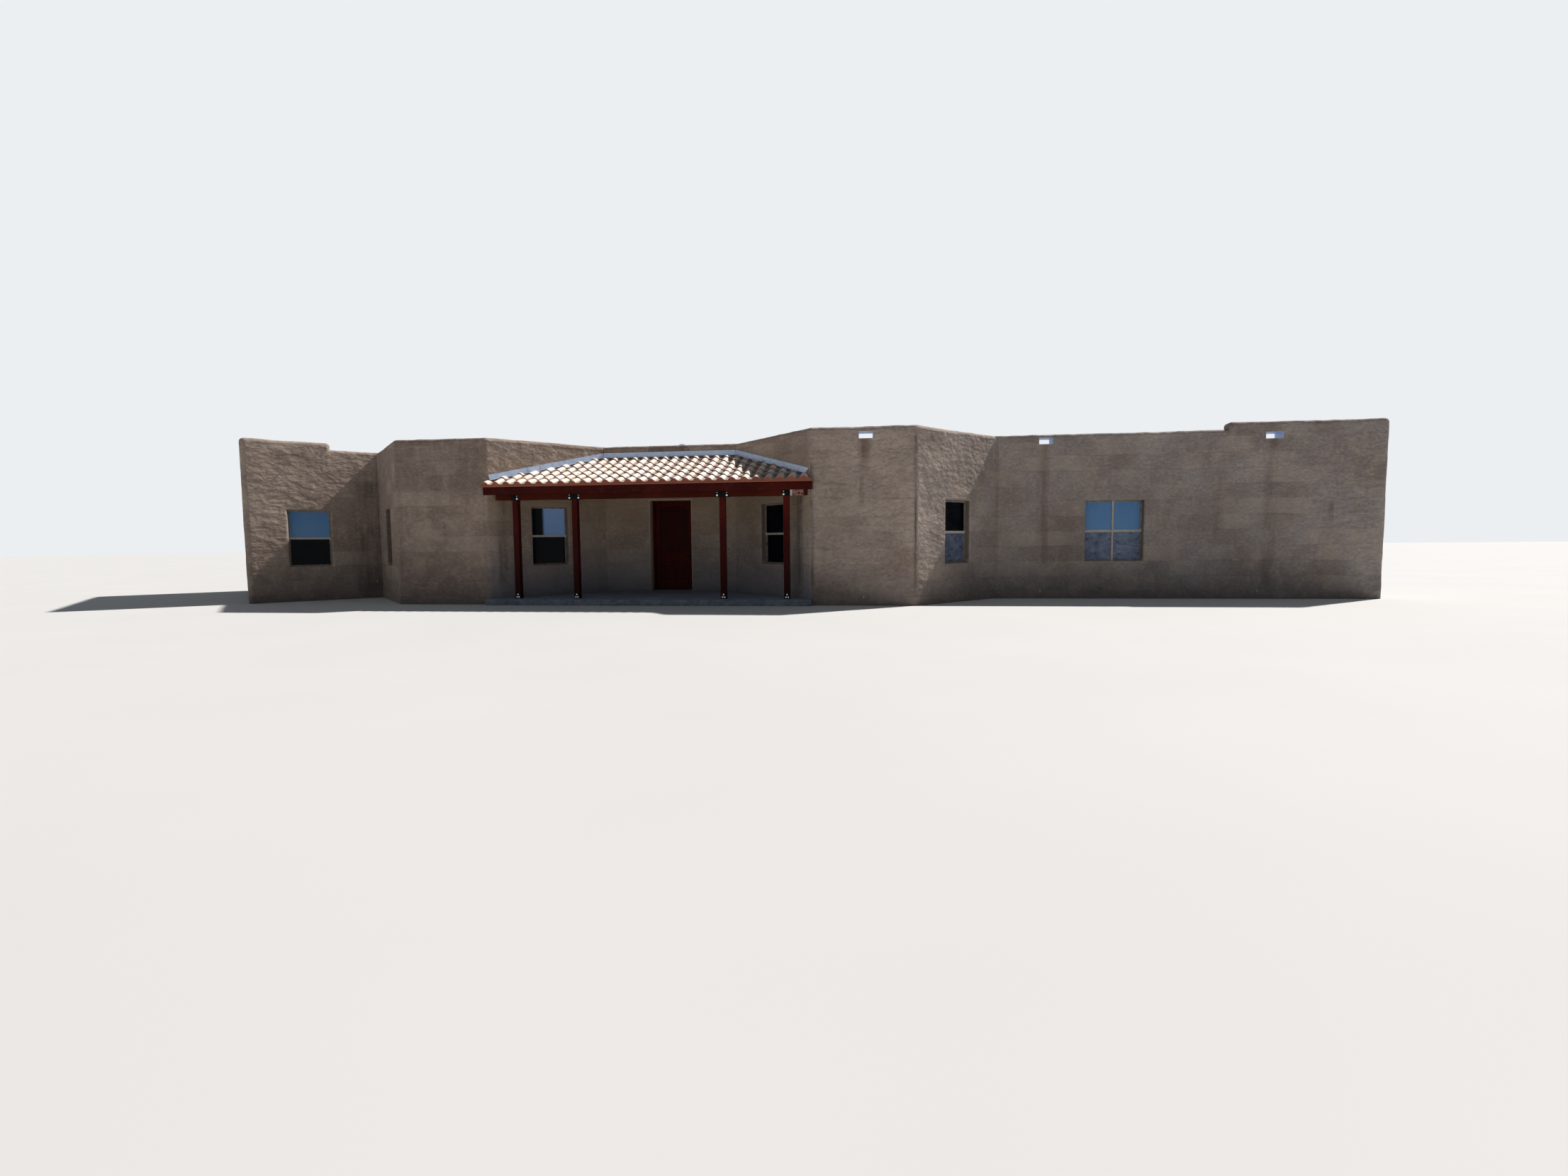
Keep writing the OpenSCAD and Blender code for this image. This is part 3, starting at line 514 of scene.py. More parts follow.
def worn_metal(name, roughness, grain, span, dark, light, rough, relief=None, **settings):
    """Metal whose tone, roughness and relief follow one noise."""
    m = Shader(name, roughness, **settings)
    wear = m.noise(m.place(), *grain)
    return m.finish(m.mix(m.remap(wear, *span), dark, light), m.remap(wear, 0.3, 0.7, *rough),
                    relief and m.bump(wear, *relief))


# Painted shade in the tiles' troughs
TILE_TROUGH_SHADE = srgb(104, 76, 66)


def clay(name, pale, base, deep, edge):
    """Fired clay of a tone that differs from tile to tile, with bloom, and painted shade in the
    troughs and at the tiles' lower edges.
    """
    m = Shader(name, 0.85, Specular_IOR_Level=0.25)
    at = m.place()
    tile = m.attribute("tile_tone")
    bloom = m.noise(at, 14.0, 5.0, 0.7)
    grit = m.noise(at, 160.0, 3.0, 0.7)
    tone = m.mix(tile, base, pale)
    tone = m.over(tone, deep, bloom, 0.5, 0.76, 0.5)
    # Painted shade in the troughs
    trough_shade = m.times(m.attribute("trough"), m.remap(bloom, 0.3, 0.6, 0.45, 0.85))
    tone = m.mix(trough_shade, tone, TILE_TROUGH_SHADE)
    # Toward the tiles' lower edges: painted shade; the eave's mortar bed takes this tone as its
    # own colour
    tone = m.over(tone, edge, m.attribute("tile_edge"), 0.9, 1.0, 0.8)
    tone = m.over(tone, deep, grit, 0.35, 0.75, 0.2)
    return m.finish(tone, m.remap(bloom, 0.3, 0.7, 0.78, 0.94),
                    m.bump(grit, 0.0012, 0.5, m.bump(bloom, 0.004, 0.4)))


# The screens left of the long wall are darker, between these two places along X
SHADED_SCREEN = (10.0, 9.0)


def insect_screen():
    """Woven screen, dusty in patches and creased."""
    m = Shader("insect_screen", 0.85, Specular_IOR_Level=0.15, Alpha=0.82)
    at = m.place()
    dust = m.noise(at, 5.5, 5.0, 0.65)
    crease = m.noise(m.stretched(at, (1.0, 1.0, 2.5), 0.4), 3.0, 3.0, 0.5, 1.2)
    tone = m.mix(m.remap(dust, 0.35, 0.68), srgb(106, 119, 146), srgb(154, 167, 194))
    tone = m.over(tone, srgb(62, 70, 88), m.axis(at, "X"), *SHADED_SCREEN, 0.45)
    tone = m.over(tone, srgb(150, 156, 168), crease, 0.6, 0.66, 0.5)
    tone = m.over(tone, srgb(40, 46, 58), crease, 0.4, 0.34, 0.5)
    return m.finish(tone, normal=m.bump(crease, 0.01, 0.6))


def add_object(name, data):
    made = bpy.data.objects.new(name, data)
    bpy.context.scene.collection.objects.link(made)
    return made


def mesh_from(bm, name, material):
    mesh = bpy.data.meshes.new(name)
    bm.to_mesh(mesh)
    bm.free()
    mesh.materials.append(material)
    return mesh


def piece_from(bm, name, material, replaced=(), sharp=35):
    """Finishes a bmesh as a piece that rides on the house."""
    bmesh.ops.recalc_face_normals(bm, faces=bm.faces)
    mesh = mesh_from(bm, name, material)
    mesh.shade_smooth()
    mesh.set_sharp_from_angle(angle=math.radians(sharp))
    piece = add_object(name, mesh)
    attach(piece, "house")
    if replaced:
        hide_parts(*replaced)
    return piece


ORIGIN = Vector((0, 0, 0))
ACROSS, BACK, UP = Vector((1, 0, 0)), Vector((0, 1, 0)), Vector((0, 0, 1))
WELD = 2e-5
FLAT = math.radians(0.6)
CUT_NEAR, CUT_FINE = 1e-4, 1e-5


def node_bmesh(node):
    """A CAD node's mesh with its split corners welded and flat areas joined."""
    bm = bmesh.new()
    bm.from_mesh(frame["nodes"][node].data)
    bmesh.ops.remove_doubles(bm, verts=bm.verts, dist=WELD)
    bmesh.ops.dissolve_limit(bm, angle_limit=FLAT, verts=bm.verts, edges=bm.edges)
    return bm


def add_strip(bm, one, other):
    """Faces between two rows of vertices."""
    for k in range(len(one) - 1):
        bm.faces.new((one[k], one[k + 1], other[k + 1], other[k]))


def add_sheet(bm, top_a, top_b, under_a, under_b):
    """A thin closed sheet between four rows of vertices."""
    for one, other in ((top_a, top_b), (top_b, under_b), (under_b, under_a), (under_a, top_a)):
        add_strip(bm, one, other)
    for end in (0, -1):
        bm.faces.new((top_a[end], top_b[end], under_b[end], under_a[end]))


def cut_at(bm, point, normal):
    geometry = bm.verts[:] + bm.edges[:] + bm.faces[:]
    bmesh.ops.bisect_plane(bm, geom=geometry, dist=CUT_NEAR, plane_co=point, plane_no=normal)


def cut_by_planes(bm, origin, normal, step):
    """Cuts a mesh into slices a step apart along a direction."""
    along = [(v.co - origin).dot(normal) for v in bm.verts]
    low, high = min(along), max(along)
    count = math.floor((high - low) / step)
    for k in range(1, count + 1):
        cut_at(bm, origin + normal * (low + k * (high - low) / (count + 1)), normal)


def wall_axes(node):
    """Start of a wall at the ground, and the directions along it and into it."""
    x, y, heading, _ = WALLS[node]
    a = math.radians(heading)
    return (Vector((x, y, 0)), Vector((math.cos(a), math.sin(a), 0)),
            Vector((-math.sin(a), math.cos(a), 0)))


def off_opening(s, z, opening):
    """Distance outside an opening's rectangle, in the wall's face."""
    centre, width, sill, head = opening
    across = abs(s - centre) - width / 2
    up = max(sill - z, z - head)
    return math.hypot(max(across, 0), max(up, 0))


# Radius of the rounded stucco at window and door openings, and the cuts that carry it
EDGE_R = 0.045
EDGE_CUTS = (0.018, EDGE_R)
TOUCH = 1e-3


def cut_round_opening(bm, axes, opening):
    start, along, inward = axes
    centre, width, sill, head = opening
    for off in (0.0, *EDGE_CUTS):
        for side in (-1, 1):
            cut_at(bm, start + along * (centre + side * (width / 2 + off)), along)
        cut_at(bm, UP * (head + off), UP)
        if sill > 0:
            cut_at(bm, UP * (sill - off), UP)
    for off in EDGE_CUTS:
        cut_at(bm, start + inward * off, inward)


def rounded_edge(s, depth, z, opening):
    """How far a point at an opening's outer edge moves along the wall, into it and up."""
    centre, width, sill, head = opening
    gap = off_opening(s, z, opening)
    on_face, on_reveal = depth < TOUCH, gap < TOUCH
    if not (on_face or on_reveal) or gap > EDGE_R or depth > EDGE_R:
        return 0.0, 0.0, 0.0
    if on_face and on_reveal:
        sink = spread = EDGE_R * (1 - math.sqrt(0.5))
    else:
        sink = EDGE_R - math.sqrt(EDGE_R ** 2 - (EDGE_R - gap) ** 2) if on_face else 0.0
        spread = EDGE_R - math.sqrt(EDGE_R ** 2 - (EDGE_R - depth) ** 2) if on_reveal else 0.0
    at_side = abs(abs(s - centre) - width / 2) < TOUCH
    at_head = abs(z - head) < TOUCH
    at_sill = sill > 0 and abs(z - sill) < TOUCH
    return math.copysign(spread, s - centre) * at_side, sink, spread * (at_head - at_sill)


# Hand-trowelled waviness as (size of the waves, how far they move the surface)
WAVES = ((1.15, 0.011), (0.36, 0.007), (0.16, 0.005))
TOP_WAVE = (0.3, 0.005)
OPENING_CALM = 0.12
# Scuppers start above this height and keep their sharp edges
SCUPPER_SILL = 3.0
WALL_STEP, REAR_STEP = 0.05, 0.11


def waviness(point):
    move = Vector((0, 0, 0))
    for size, height in WAVES:
        move += noise.noise_vector(point / size) * height
    size, height = TOP_WAVE
    move += noise.noise_vector(point / size) * height * smoothstep(point.z, 3.9, PARAPET_LOW)
    return move


# Dark marks by wall as (place along it, top, bottom, half width, strength): run-off stains, dark
# bands down some corners, a darker upper part of the left bay, and painted shade at the wing's
# inner corner and on the entry's head wall
STAINS_AND_SHADE = {
    "right_bay_wall": [
        (1.22, 3.86, 2.9, 0.1, 0.45), (1.2, 2.95, 2.1, 0.07, 0.75),
        (0.03, 3.3, 0.2, 0.06, 1.0), (2.45, 3.9, 0.2, 0.04, 1.0)],
    "long_front_wall": [
        (1.1, 3.7, 1.4, 0.1, 0.25), (6.55, 3.92, 0.0, 0.22, 0.45),
        (6.5, 3.3, 1.3, 0.1, 0.55), (7.95, 2.3, 1.7, 0.06, 0.7),
        (0.04, 4.0, 0.3, 0.05, 0.5), (5.35, 2.6, 1.2, 0.12, 0.3)],
    "left_bay_wall": [
        (1.32, 2.0, 1.2, 0.08, 0.4), (0.1, 3.6, 0.3, 0.08, 0.35),
        (2.4, 3.6, 0.2, 0.08, 0.25), (1.24, 4.4, 2.6, 3.6, 0.4)],
    "porch_left_wall": [(0.34, 2.9, 0.2, 0.16, 0.75)],
    "porch_right_wall": [(2.72, 3.0, 0.2, 0.16, 0.9)],
    # Both sides of the wing's inner corner: painted shade
    "wing_front_wall": [(3.0, 3.3, 0.0, 0.75, 0.75)],
    "left_return_wall": [(0.1, 3.3, 0.0, 0.5, 0.5)],
    # Over the entry's flashing: painted shade
    "entry_wall_head": [(1.86, 4.3, 3.0, 6.0, 0.7)],
}
# Reddish run-off, in the same form
RUST_STAINS = {
    "right_bay_wall": [(1.28, 3.86, 3.1, 0.2, 0.7), (2.3, 1.3, 0.0, 0.6, 0.35)],
    "long_front_wall": [(1.23, 3.92, 0.6, 0.11, 0.7), (6.6, 3.92, 3.5, 0.14, 0.6)],
}
# Washed-out patches, in the same form
PALE_PATCHES = {
    "left_bay_wall": [
        (0.95, 1.85, 1.3, 0.5, 0.3), (1.6, 2.2, 1.7, 0.35, 0.25),
        (0.59, 1.15, 0.6, 0.22, 0.3), (0.56, 3.65, 3.1, 0.3, 0.18)],
    "right_bay_wall": [(0.45, 2.3, 1.4, 0.45, 0.22)],
    "long_front_wall": [
        (2.1, 3.3, 2.6, 0.45, 0.2), (6.6, 3.55, 3.0, 0.25, 0.22),
        (5.8, 2.45, 1.8, 0.7, 0.18)],
    "wing_front_wall": [(1.55, 0.9, 0.3, 0.4, 0.22)],
}
SHELTERED = ("porch_left_wall", *ENTRY_WALLS, "porch_right_wall")


def stain_at(stains, node, s, z):
    found = 0.0
    for centre, top, bottom, half, strength in stains.get(node, ()):
        across = 1 - smoothstep(abs(s - centre), half * 0.35, half)
        down = smoothstep(z, bottom, bottom + 0.5) * (1 - smoothstep(z, top, top + 0.12))
        found = max(found, across * down * strength)
    return found


def edge_tones(s, z, depth, openings):
    """How pale and how dark the stucco is around and in the openings: painted highlight along
    their edges, dust with painted sky light on the sills, and painted shade deep in the window
    reveals.
    """
    pale = dark = 0.0
    for opening in openings:
        gap = off_opening(s, z, opening)
        if opening == DOORWAY:
            near = (1 - smoothstep(gap, 0.0, 0.05)) * (1 - smoothstep(depth, 0.03, 0.08))
            pale = max(pale, 0.8 * near)
        else:
            near = 1 - smoothstep(gap, 0.0, 0.06)
            on_sill = abs(z - opening[2]) < EDGE_R
            pale = max(pale, near * (0.45 if on_sill else 0.12))
            dark = max(dark, 0.0 if on_sill or depth < EDGE_R / 2 else 0.7 * near)
    return pale, dark


def stucco_wall(node, material, step):
    """A wall with rounded opening edges and a hand-trowelled, slightly wavy surface."""
    start, along, inward = axes = wall_axes(node)
    bm = node_bmesh(node)
    openings = OPENINGS.get(node, [])
    rounded = [o for o in openings if o[3] < SCUPPER_SILL]
    for opening in rounded:
        cut_round_opening(bm, axes, opening)
    cut_by_planes(bm, start, UP, step)
    cut_by_planes(bm, start, along, step)
    names = ("stain_and_shade", "rust", "pale", "reveal_shade", "sheltered")
    layers = [bm.verts.layers.float.new(name) for name in names]
    for v in bm.verts:
        s, depth = (v.co - start).dot(along), (v.co - start).dot(inward)
        z = v.co.z
        gap = min((off_opening(s, z, o) for o in openings), default=1.0)
        move = waviness(v.co) * smoothstep(gap, 0.0, OPENING_CALM)
        move.z *= smoothstep(z, 0.0, 0.4)
        outside = depth < WALL_T / 2
        pale, dark = edge_tones(s, z, depth, rounded)
        pale = max(pale, stain_at(PALE_PATCHES, node, s, z))
        stain_and_shade, rust = (stain_at(stains, node, s, z) for stains in (STAINS_AND_SHADE, RUST_STAINS))
        tones = (stain_and_shade * outside, rust * outside, pale * outside, dark, float(node in SHELTERED))
        for layer, tone in zip(layers, tones):
            v[layer] = tone
        for opening in rounded:
            aside, sink, rise = rounded_edge(s, depth, z, opening)
            move += along * aside + inward * sink + UP * rise
        v.co += move
    return piece_from(bm, node + "_stucco", material, replaced=(node,))


SLAB_FRONT = -2.61
SLAB_TOP = 0.15
SLAB_STEP, SLAB_LAYER = 0.055, 0.03
SLAB_CUTS = (0.02, 0.05, 0.09, 0.15, 0.25)


def worn_porch_slab(material):
    """Porch slab with a broken front edge."""
    bm = node_bmesh("porch_slab")
    cut_by_planes(bm, ORIGIN, ACROSS, SLAB_STEP)
    cut_by_planes(bm, ORIGIN, UP, SLAB_LAYER)
    for off in SLAB_CUTS:
        cut_at(bm, BACK * (SLAB_FRONT + off), BACK)
    for v in bm.verts:
        front = 1 - smoothstep(v.co.y, SLAB_FRONT, SLAB_FRONT + 0.16)
        top = smoothstep(v.co.z, 0.06, SLAB_TOP)
        rough = noise.noise(v.co * 7.0) * 0.018 + noise.noise(v.co * 21.0) * 0.008
        bite = max(0.0, noise.noise(Vector((v.co.x * 1.3, 4.0, 0)))) * 0.11
        chip = max(0.0, noise.noise(Vector((v.co.x * 5.0, 9.0, 0)))) * 0.06
        v.co.y += front * max(0.0, 0.02 + bite + chip * top + rough)
        v.co.z -= front * top * (0.012 + chip * 0.5 + abs(rough) * 0.6)
    return piece_from(bm, "porch_slab_worn", material, replaced=("porch_slab",))


TILE_COLUMNS = 29
TILE_W = 2 * FASCIA_HALF / TILE_COLUMNS
TILE_EXPOSED = 0.365
TILE_LAP = 0.075
TILE_T = 0.012
HUMP_W = 0.62
HUMP_H = 0.064
PAN_H = 0.009
TILE_SIDES = 16
TILE_RISE = 0.034
TILE_SEAT = 0.012
TILE_OVERLAP = 1.03
# How far the tiles are packed up where they meet the walls, and over what distance
TILE_CANT = 0.042
CANT_REACH = 0.75
EAVE_FRONT = EAVE_Y - 0.045
WALL_GAP = 0.012


def column_x(column):
    return (column - (TILE_COLUMNS - 1) / 2) * TILE_W


def tile_profile(u):
    """Height of the S-shaped tile across its width, for u from 0 to 1."""
    if u < HUMP_W:
        return HUMP_H * math.sin(math.pi * u / HUMP_W) ** 0.8
    return -PAN_H * math.sin(math.pi * (u - HUMP_W) / (1 - HUMP_W))


def deck_point(x, run, lift):
    """Point on the porch roof: across, up the slope from the eave line, and off the boards."""
    cos, sin = math.cos(SLOPE), math.sin(SLOPE)
    foot = DECK_TOP + (EAVE_FRONT - EAVE_Y) * PITCH_RISE
    return Vector((x, EAVE_FRONT + run * cos - lift * sin, foot + run * sin + lift * cos))


def wall_cant(x, run):
    """Height that the tiles are packed up by near the walls beside and behind the porch."""
    y = deck_point(x, run, 0).y
    beside = (RECESS_X + RECESS_Y - y - abs(x)) * math.sqrt(0.5)
    near = 1 - smoothstep(min(beside, FACE_Y - y), 0.0, CANT_REACH)
    return TILE_CANT * near * smoothstep(run, 0.0, 0.5)


def tile_layers(bm):
    return [bm.verts.layers.float.new(name) for name in ("tile_tone", "trough", "tile_edge")]


def clay_vertex(bm, layers, place, *tones):
    v = bm.verts.new(deck_point(*place))
    for layer, tone in zip(layers, tones):
        v[layer] = tone
    return v


def add_tile(bm, x, run, layers, rng):
    """One clay tile with its thickness, resting on the course below at its upper end."""
    length = TILE_EXPOSED + TILE_LAP
    skew = rng.uniform(-0.005, 0.005)
    lift = rng.uniform(0.0, 0.005)
    slip = rng.uniform(-0.006, 0.004)
    tone = rng.random()
    cants = [wall_cant(x, run + end * length) for end in (0, 1)]
    rings = []
    for level in (TILE_T, 0.0):
        for end in (0, 1):
            ring = []
            for k in range(TILE_SIDES + 1):
                u = k / TILE_SIDES
                rise = TILE_RISE * (1 - end) + lift + cants[end]
                across = x + (u - 0.5) * TILE_W * TILE_OVERLAP + skew * (1 - 2 * end)
                place = (across, max(0.0, run + slip) + end * length,
                         TILE_SEAT + tile_profile(u) + level + rise)
                trough = smoothstep(u, HUMP_W * 0.88, HUMP_W * 1.05)
                ring.append(clay_vertex(bm, layers, place, tone, trough, 1.0 - end))
            rings.append(ring)
    add_sheet(bm, *rings)


def cut_away(bm, point, normal, keep=lambda at: False):
    """Cuts faces at a plane and removes what lies beyond it, sparing faces that keep accepts."""
    faces = [f for f in bm.faces if not keep(f.calc_center_median())]
    geometry = list({v for f in faces for v in f.verts}) + list(
        {e for f in faces for e in f.edges}) + faces
    bmesh.ops.bisect_plane(bm, geom=geometry, dist=CUT_FINE, plane_co=point, plane_no=normal)
    centres = [(f, f.calc_center_median()) for f in bm.faces]
    gone = [f for f, at in centres if (at - point).dot(normal) > CUT_NEAR and not keep(at)]
    bmesh.ops.delete(bm, geom=gone, context="FACES")


def roof_tiles(material):
    """Courses of S tiles over the porch roof, cut along the splayed walls."""
    rng = random.Random(SEED)
    bm = bmesh.new()
    layers = tile_layers(bm)
    run_top = (FACE_Y - EAVE_FRONT) / math.cos(SLOPE)
    for row in range(math.ceil(run_top / TILE_EXPOSED)):
        run = row * TILE_EXPOSED
        reach = RECESS_X + RECESS_Y - deck_point(0, run, 0).y
        for column in range(TILE_COLUMNS):
            x = column_x(column)
            if abs(x) - TILE_W / 2 <= min(reach + TILE_W, FASCIA_HALF):
                add_tile(bm, x, run, layers, rng)
    cut_away(bm, BACK * (FACE_Y - WALL_GAP), BACK)
    for sign in (-1, 1):
        out = Vector((sign, 1, 0)).normalized()
        corner = Vector((sign * RECESS_X, RECESS_Y, 0)) - out * WALL_GAP
        cut_away(bm, corner, out, keep=lambda at: at.y < RECESS_Y - WALL_GAP)
        bay = BACK * (RECESS_Y - WALL_GAP)
        cut_away(bm, bay, BACK, keep=lambda at: at.x * sign < RECESS_X)
    return piece_from(bm, "clay_roof_tiles", material, replaced=("porch_tile_bed",))


CLOSURE_T = 0.014
CLOSURE_BACK = 0.006
CLOSURE_LIP = 0.016
BED_BACK = CLOSURE_BACK + 0.03
BED_FRONT = CLOSURE_BACK - 0.004
BED_FOOT = -0.012


def eave_closures(material):
    """Scalloped clay pieces that close the tiles' humps along the eave, on a bed of mortar."""
    rng = random.Random(SEED + 1)
    bm = bmesh.new()
    layers = tile_layers(bm)
    for column in range(TILE_COLUMNS):
        x = column_x(column)
        tone = rng.random()
        columns = []
        for k in range(TILE_SIDES + 1):
            u = k / TILE_SIDES
            across = x + (u - 0.5) * TILE_W
            top = TILE_SEAT + tile_profile(u) + TILE_RISE - 0.002
            rows = ((CLOSURE_BACK, CLOSURE_LIP + 0.002), (CLOSURE_BACK, top),
                    (CLOSURE_BACK + CLOSURE_T, top))
            columns.append([clay_vertex(bm, layers, (across, *row), tone) for row in rows])
        for left, right in zip(columns, columns[1:]):
            add_strip(bm, right, left)
        for side in (columns[0], columns[-1]):
            bm.faces.new(side)

    # Straight mortar bed below the closures, uneven by a few millimetres
    strips = []
    steps = TILE_COLUMNS * 4
    for k in range(steps + 1):
        across = (k / steps * 2 - 1) * FASCIA_HALF
        uneven = noise.noise(Vector((across * 6.0, 0, 0))) * 0.002
        rows = [(BED_BACK, BED_FOOT), (BED_FRONT, BED_FOOT + uneven),
                (BED_FRONT + uneven, CLOSURE_LIP + uneven), (BED_BACK, CLOSURE_LIP)]
        strips.append([clay_vertex(bm, layers, (across, *row), 0.5, 0.0, 1.0) for row in rows])
    for left, right in zip(strips, strips[1:]):
        add_strip(bm, right, left)
    for end in (strips[0], strips[-1]):
        bm.faces.new(end)
    return piece_from(bm, "eave_closures", material)


WASHER_T = 0.003


def add_bolt(bm, at, facing, radius, height):
    """Hexagonal bolt head on a washer, on a face looking along facing."""
    turn = Vector(facing).to_track_quat("Z", "Y").to_matrix().to_4x4()
    base = Matrix.Translation(at) @ turn
    for sides, low, high, foot, depth in ((20, 1.45, 1.4, 0.0, WASHER_T),
                                          (6, 1.0, 0.93, WASHER_T, height)):
        lifted = base @ Matrix.Translation((0, 0, foot + depth / 2))
        bmesh.ops.create_cone(bm, cap_ends=True, segments=sides, radius1=radius * low,
                              radius2=radius * high, depth=depth, matrix=lifted)


POST_X = (-3.34, -1.79, 1.93, 3.48)
BEAM_FRONT, BEAM_BACK = -2.33, -2.19
BEAM_Z = 2.61
PLATE_T = 0.006
OUTER_FROM = 3.0
# Bolts of a cap as (height over the beam's foot, radius, height), and of a shoe as (aside, height)
CAP_BOLTS = ((0.03, 0.016, 0.013), (0.098, 0.007, 0.006))
SHOE_BOLTS = ((-0.022, 0.04), (0.03, 0.04), (0.004, 0.104))


def post_bolts(material):
    """Bolts through the caps and the shoes of the posts, on both faces."""
    bm = bmesh.new()
    for x in POST_X:
        inward = -1 if x > 0 else 1
        caps = (0.06 * inward,) if abs(x) > OUTER_FROM else (-0.118, 0.118)
        for face, out in ((BEAM_FRONT - PLATE_T, -1), (BEAM_BACK + PLATE_T, 1)):
            for dx in caps:
                for dz, radius, height in CAP_BOLTS:
                    add_bolt(bm, (x + dx, face, BEAM_Z + dz), (0, out, 0), radius, height)
            for dx, dz in SHOE_BOLTS:
                add_bolt(bm, (x + dx, face, SLAB_TOP + dz), (0, out, 0), 0.012, 0.01)
    return piece_from(bm, "post_bracket_bolts", material, sharp=25)


# Flashings as (wall, start, height at the start, length along the wall, rise for each metre)
FLASH_TOP = 4.0
SIDE_RISE = PITCH_RISE * math.sin(math.radians(SPLAY))
FLASH_RUN = 3.035
FLASHINGS = [
    ("porch_left_wall", 0.045, FLASH_TOP - FLASH_RUN * SIDE_RISE, FLASH_RUN, SIDE_RISE),
    ("entry_wall_head", 0.02, FLASH_TOP, 3.68, 0.0),
    ("porch_right_wall", 0.02, FLASH_TOP, FLASH_RUN, -SIDE_RISE),
]
LAP_W = 0.045
LAP_T = 0.0022
LAP_PITCH = 1.22
# Section of the flashing's face as (off the wall, below its top), and its nails' heights
FLASH_SECTION = ((0.002, 0.0), (0.025, 0.0), (0.025, 0.126), (0.033, 0.134))
FLASH_FACE = 0.025
NAILS = (0.02, 0.06, 0.1)


def flashing_laps(material):
    """Laps between the flashing's sheets, each with a row of nail heads along the top."""
    bm = bmesh.new()
    for node, first, level, length, rise in FLASHINGS:
        start, along, inward = wall_axes(node)
        slope = math.atan(rise)
        run = along * math.cos(slope) + UP * math.sin(slope)
        down = along * math.sin(slope) - UP * math.cos(slope)
        origin = start + along * first + UP * level
        laps = math.floor(length / LAP_PITCH)
        for k in range(1, laps + 1):
            place = k * length / (laps + 1)
            rings = []
            for lift in (LAP_T, 0.0):
                for off in (-LAP_W / 2, LAP_W / 2):
                    rings.append([bm.verts.new(
                        origin + run * (place + off) - inward * (out + lift * (out > 0.02))
                        + down * (fall - lift * (fall < 0.1))) for out, fall in FLASH_SECTION])
            add_sheet(bm, *rings)
            for fall in NAILS:
                at = origin + run * place - inward * (FLASH_FACE + LAP_T) + down * fall
                add_bolt(bm, at, -inward, 0.0035, 0.002)
    return piece_from(bm, "flashing_laps", material, sharp=30)


# Window sashes: setback of the frame, and the lower opening in front of the lower sash
SETBACK = 0.15
FRAME_W = 0.018
LOWER_TOP = 1.697
MULLION = 0.035
SCREENED = (("right_return_wall", 1.505, SINGLE), ("long_front_wall", 2.94, WIDE))
WIDE_FROM = 1.2
SCREEN_BAR = 0.016
SCREEN_DEPTH = 0.012
SCREEN_PLAY = 0.001
# Section of the screens' bars as (in from their outer edge, behind the window frame's face)
SCREEN_SECTION = (
    (0.0, SCREEN_DEPTH + 0.01), (0.0, SCREEN_DEPTH + 0.002), (0.002, SCREEN_DEPTH),
    (SCREEN_BAR - 0.004, SCREEN_DEPTH), (SCREEN_BAR, SCREEN_DEPTH + 0.004),
    (SCREEN_BAR, SCREEN_DEPTH + 0.01))
WEAVE_CELLS = 14
WEAVE_BACK, WEAVE_SAG, WEAVE_WAVE = SCREEN_DEPTH + 0.006, 0.005, 0.35


def lower_openings(centre, width):
    """Left and right edges, along the wall, of a window's lower openings."""
    low, high = centre - width / 2 + FRAME_W, centre + width / 2 - FRAME_W
    if width < WIDE_FROM:
        return [(low, high)]
    return [(low, centre - MULLION / 2), (centre + MULLION / 2, high)]


def window_screens(frame_material, screen_material):
    """Insect screens in front of some lower sashes: a thin frame and a slightly sagging weave."""
    bars, weave = bmesh.new(), bmesh.new()
    for node, centre, width in SCREENED:
        start, along, inward = wall_axes(node)
        for left, right in lower_openings(centre, width):
            low, high = WINDOW_Z[0] + FRAME_W + SCREEN_PLAY, LOWER_TOP - SCREEN_PLAY
            left, right = left + SCREEN_PLAY, right - SCREEN_PLAY

            def at(s, z, back):
                return start + along * s + inward * (SETBACK + back) + UP * z

            def weave_vertex(i, j):
                s = left + SCREEN_BAR + (right - left - 2 * SCREEN_BAR) * i / WEAVE_CELLS
                z = low + SCREEN_BAR + (high - low - 2 * SCREEN_BAR) * j / WEAVE_CELLS
                sag = noise.noise(Vector((i * WEAVE_WAVE, j * WEAVE_WAVE, left)))
                return weave.verts.new(at(s, z, WEAVE_BACK + WEAVE_SAG * sag))

            loops = []
            for inset, back in SCREEN_SECTION:
                loops.append([bars.verts.new(at(s, z, back)) for s, z in (
                    (left + inset, low + inset), (right - inset, low + inset),
                    (right - inset, high - inset), (left + inset, high - inset))])
            for outer, inner in zip(loops, loops[1:] + loops[:1]):
                add_strip(bars, outer + outer[:1], inner + inner[:1])
            grid = [[weave_vertex(i, j) for i in range(WEAVE_CELLS + 1)]
                    for j in range(WEAVE_CELLS + 1)]
            for lower, upper in zip(grid, grid[1:]):
                add_strip(weave, lower, upper)
    piece_from(bars, "screen_frames", frame_material, sharp=40)
    piece_from(weave, "screen_weave", screen_material)


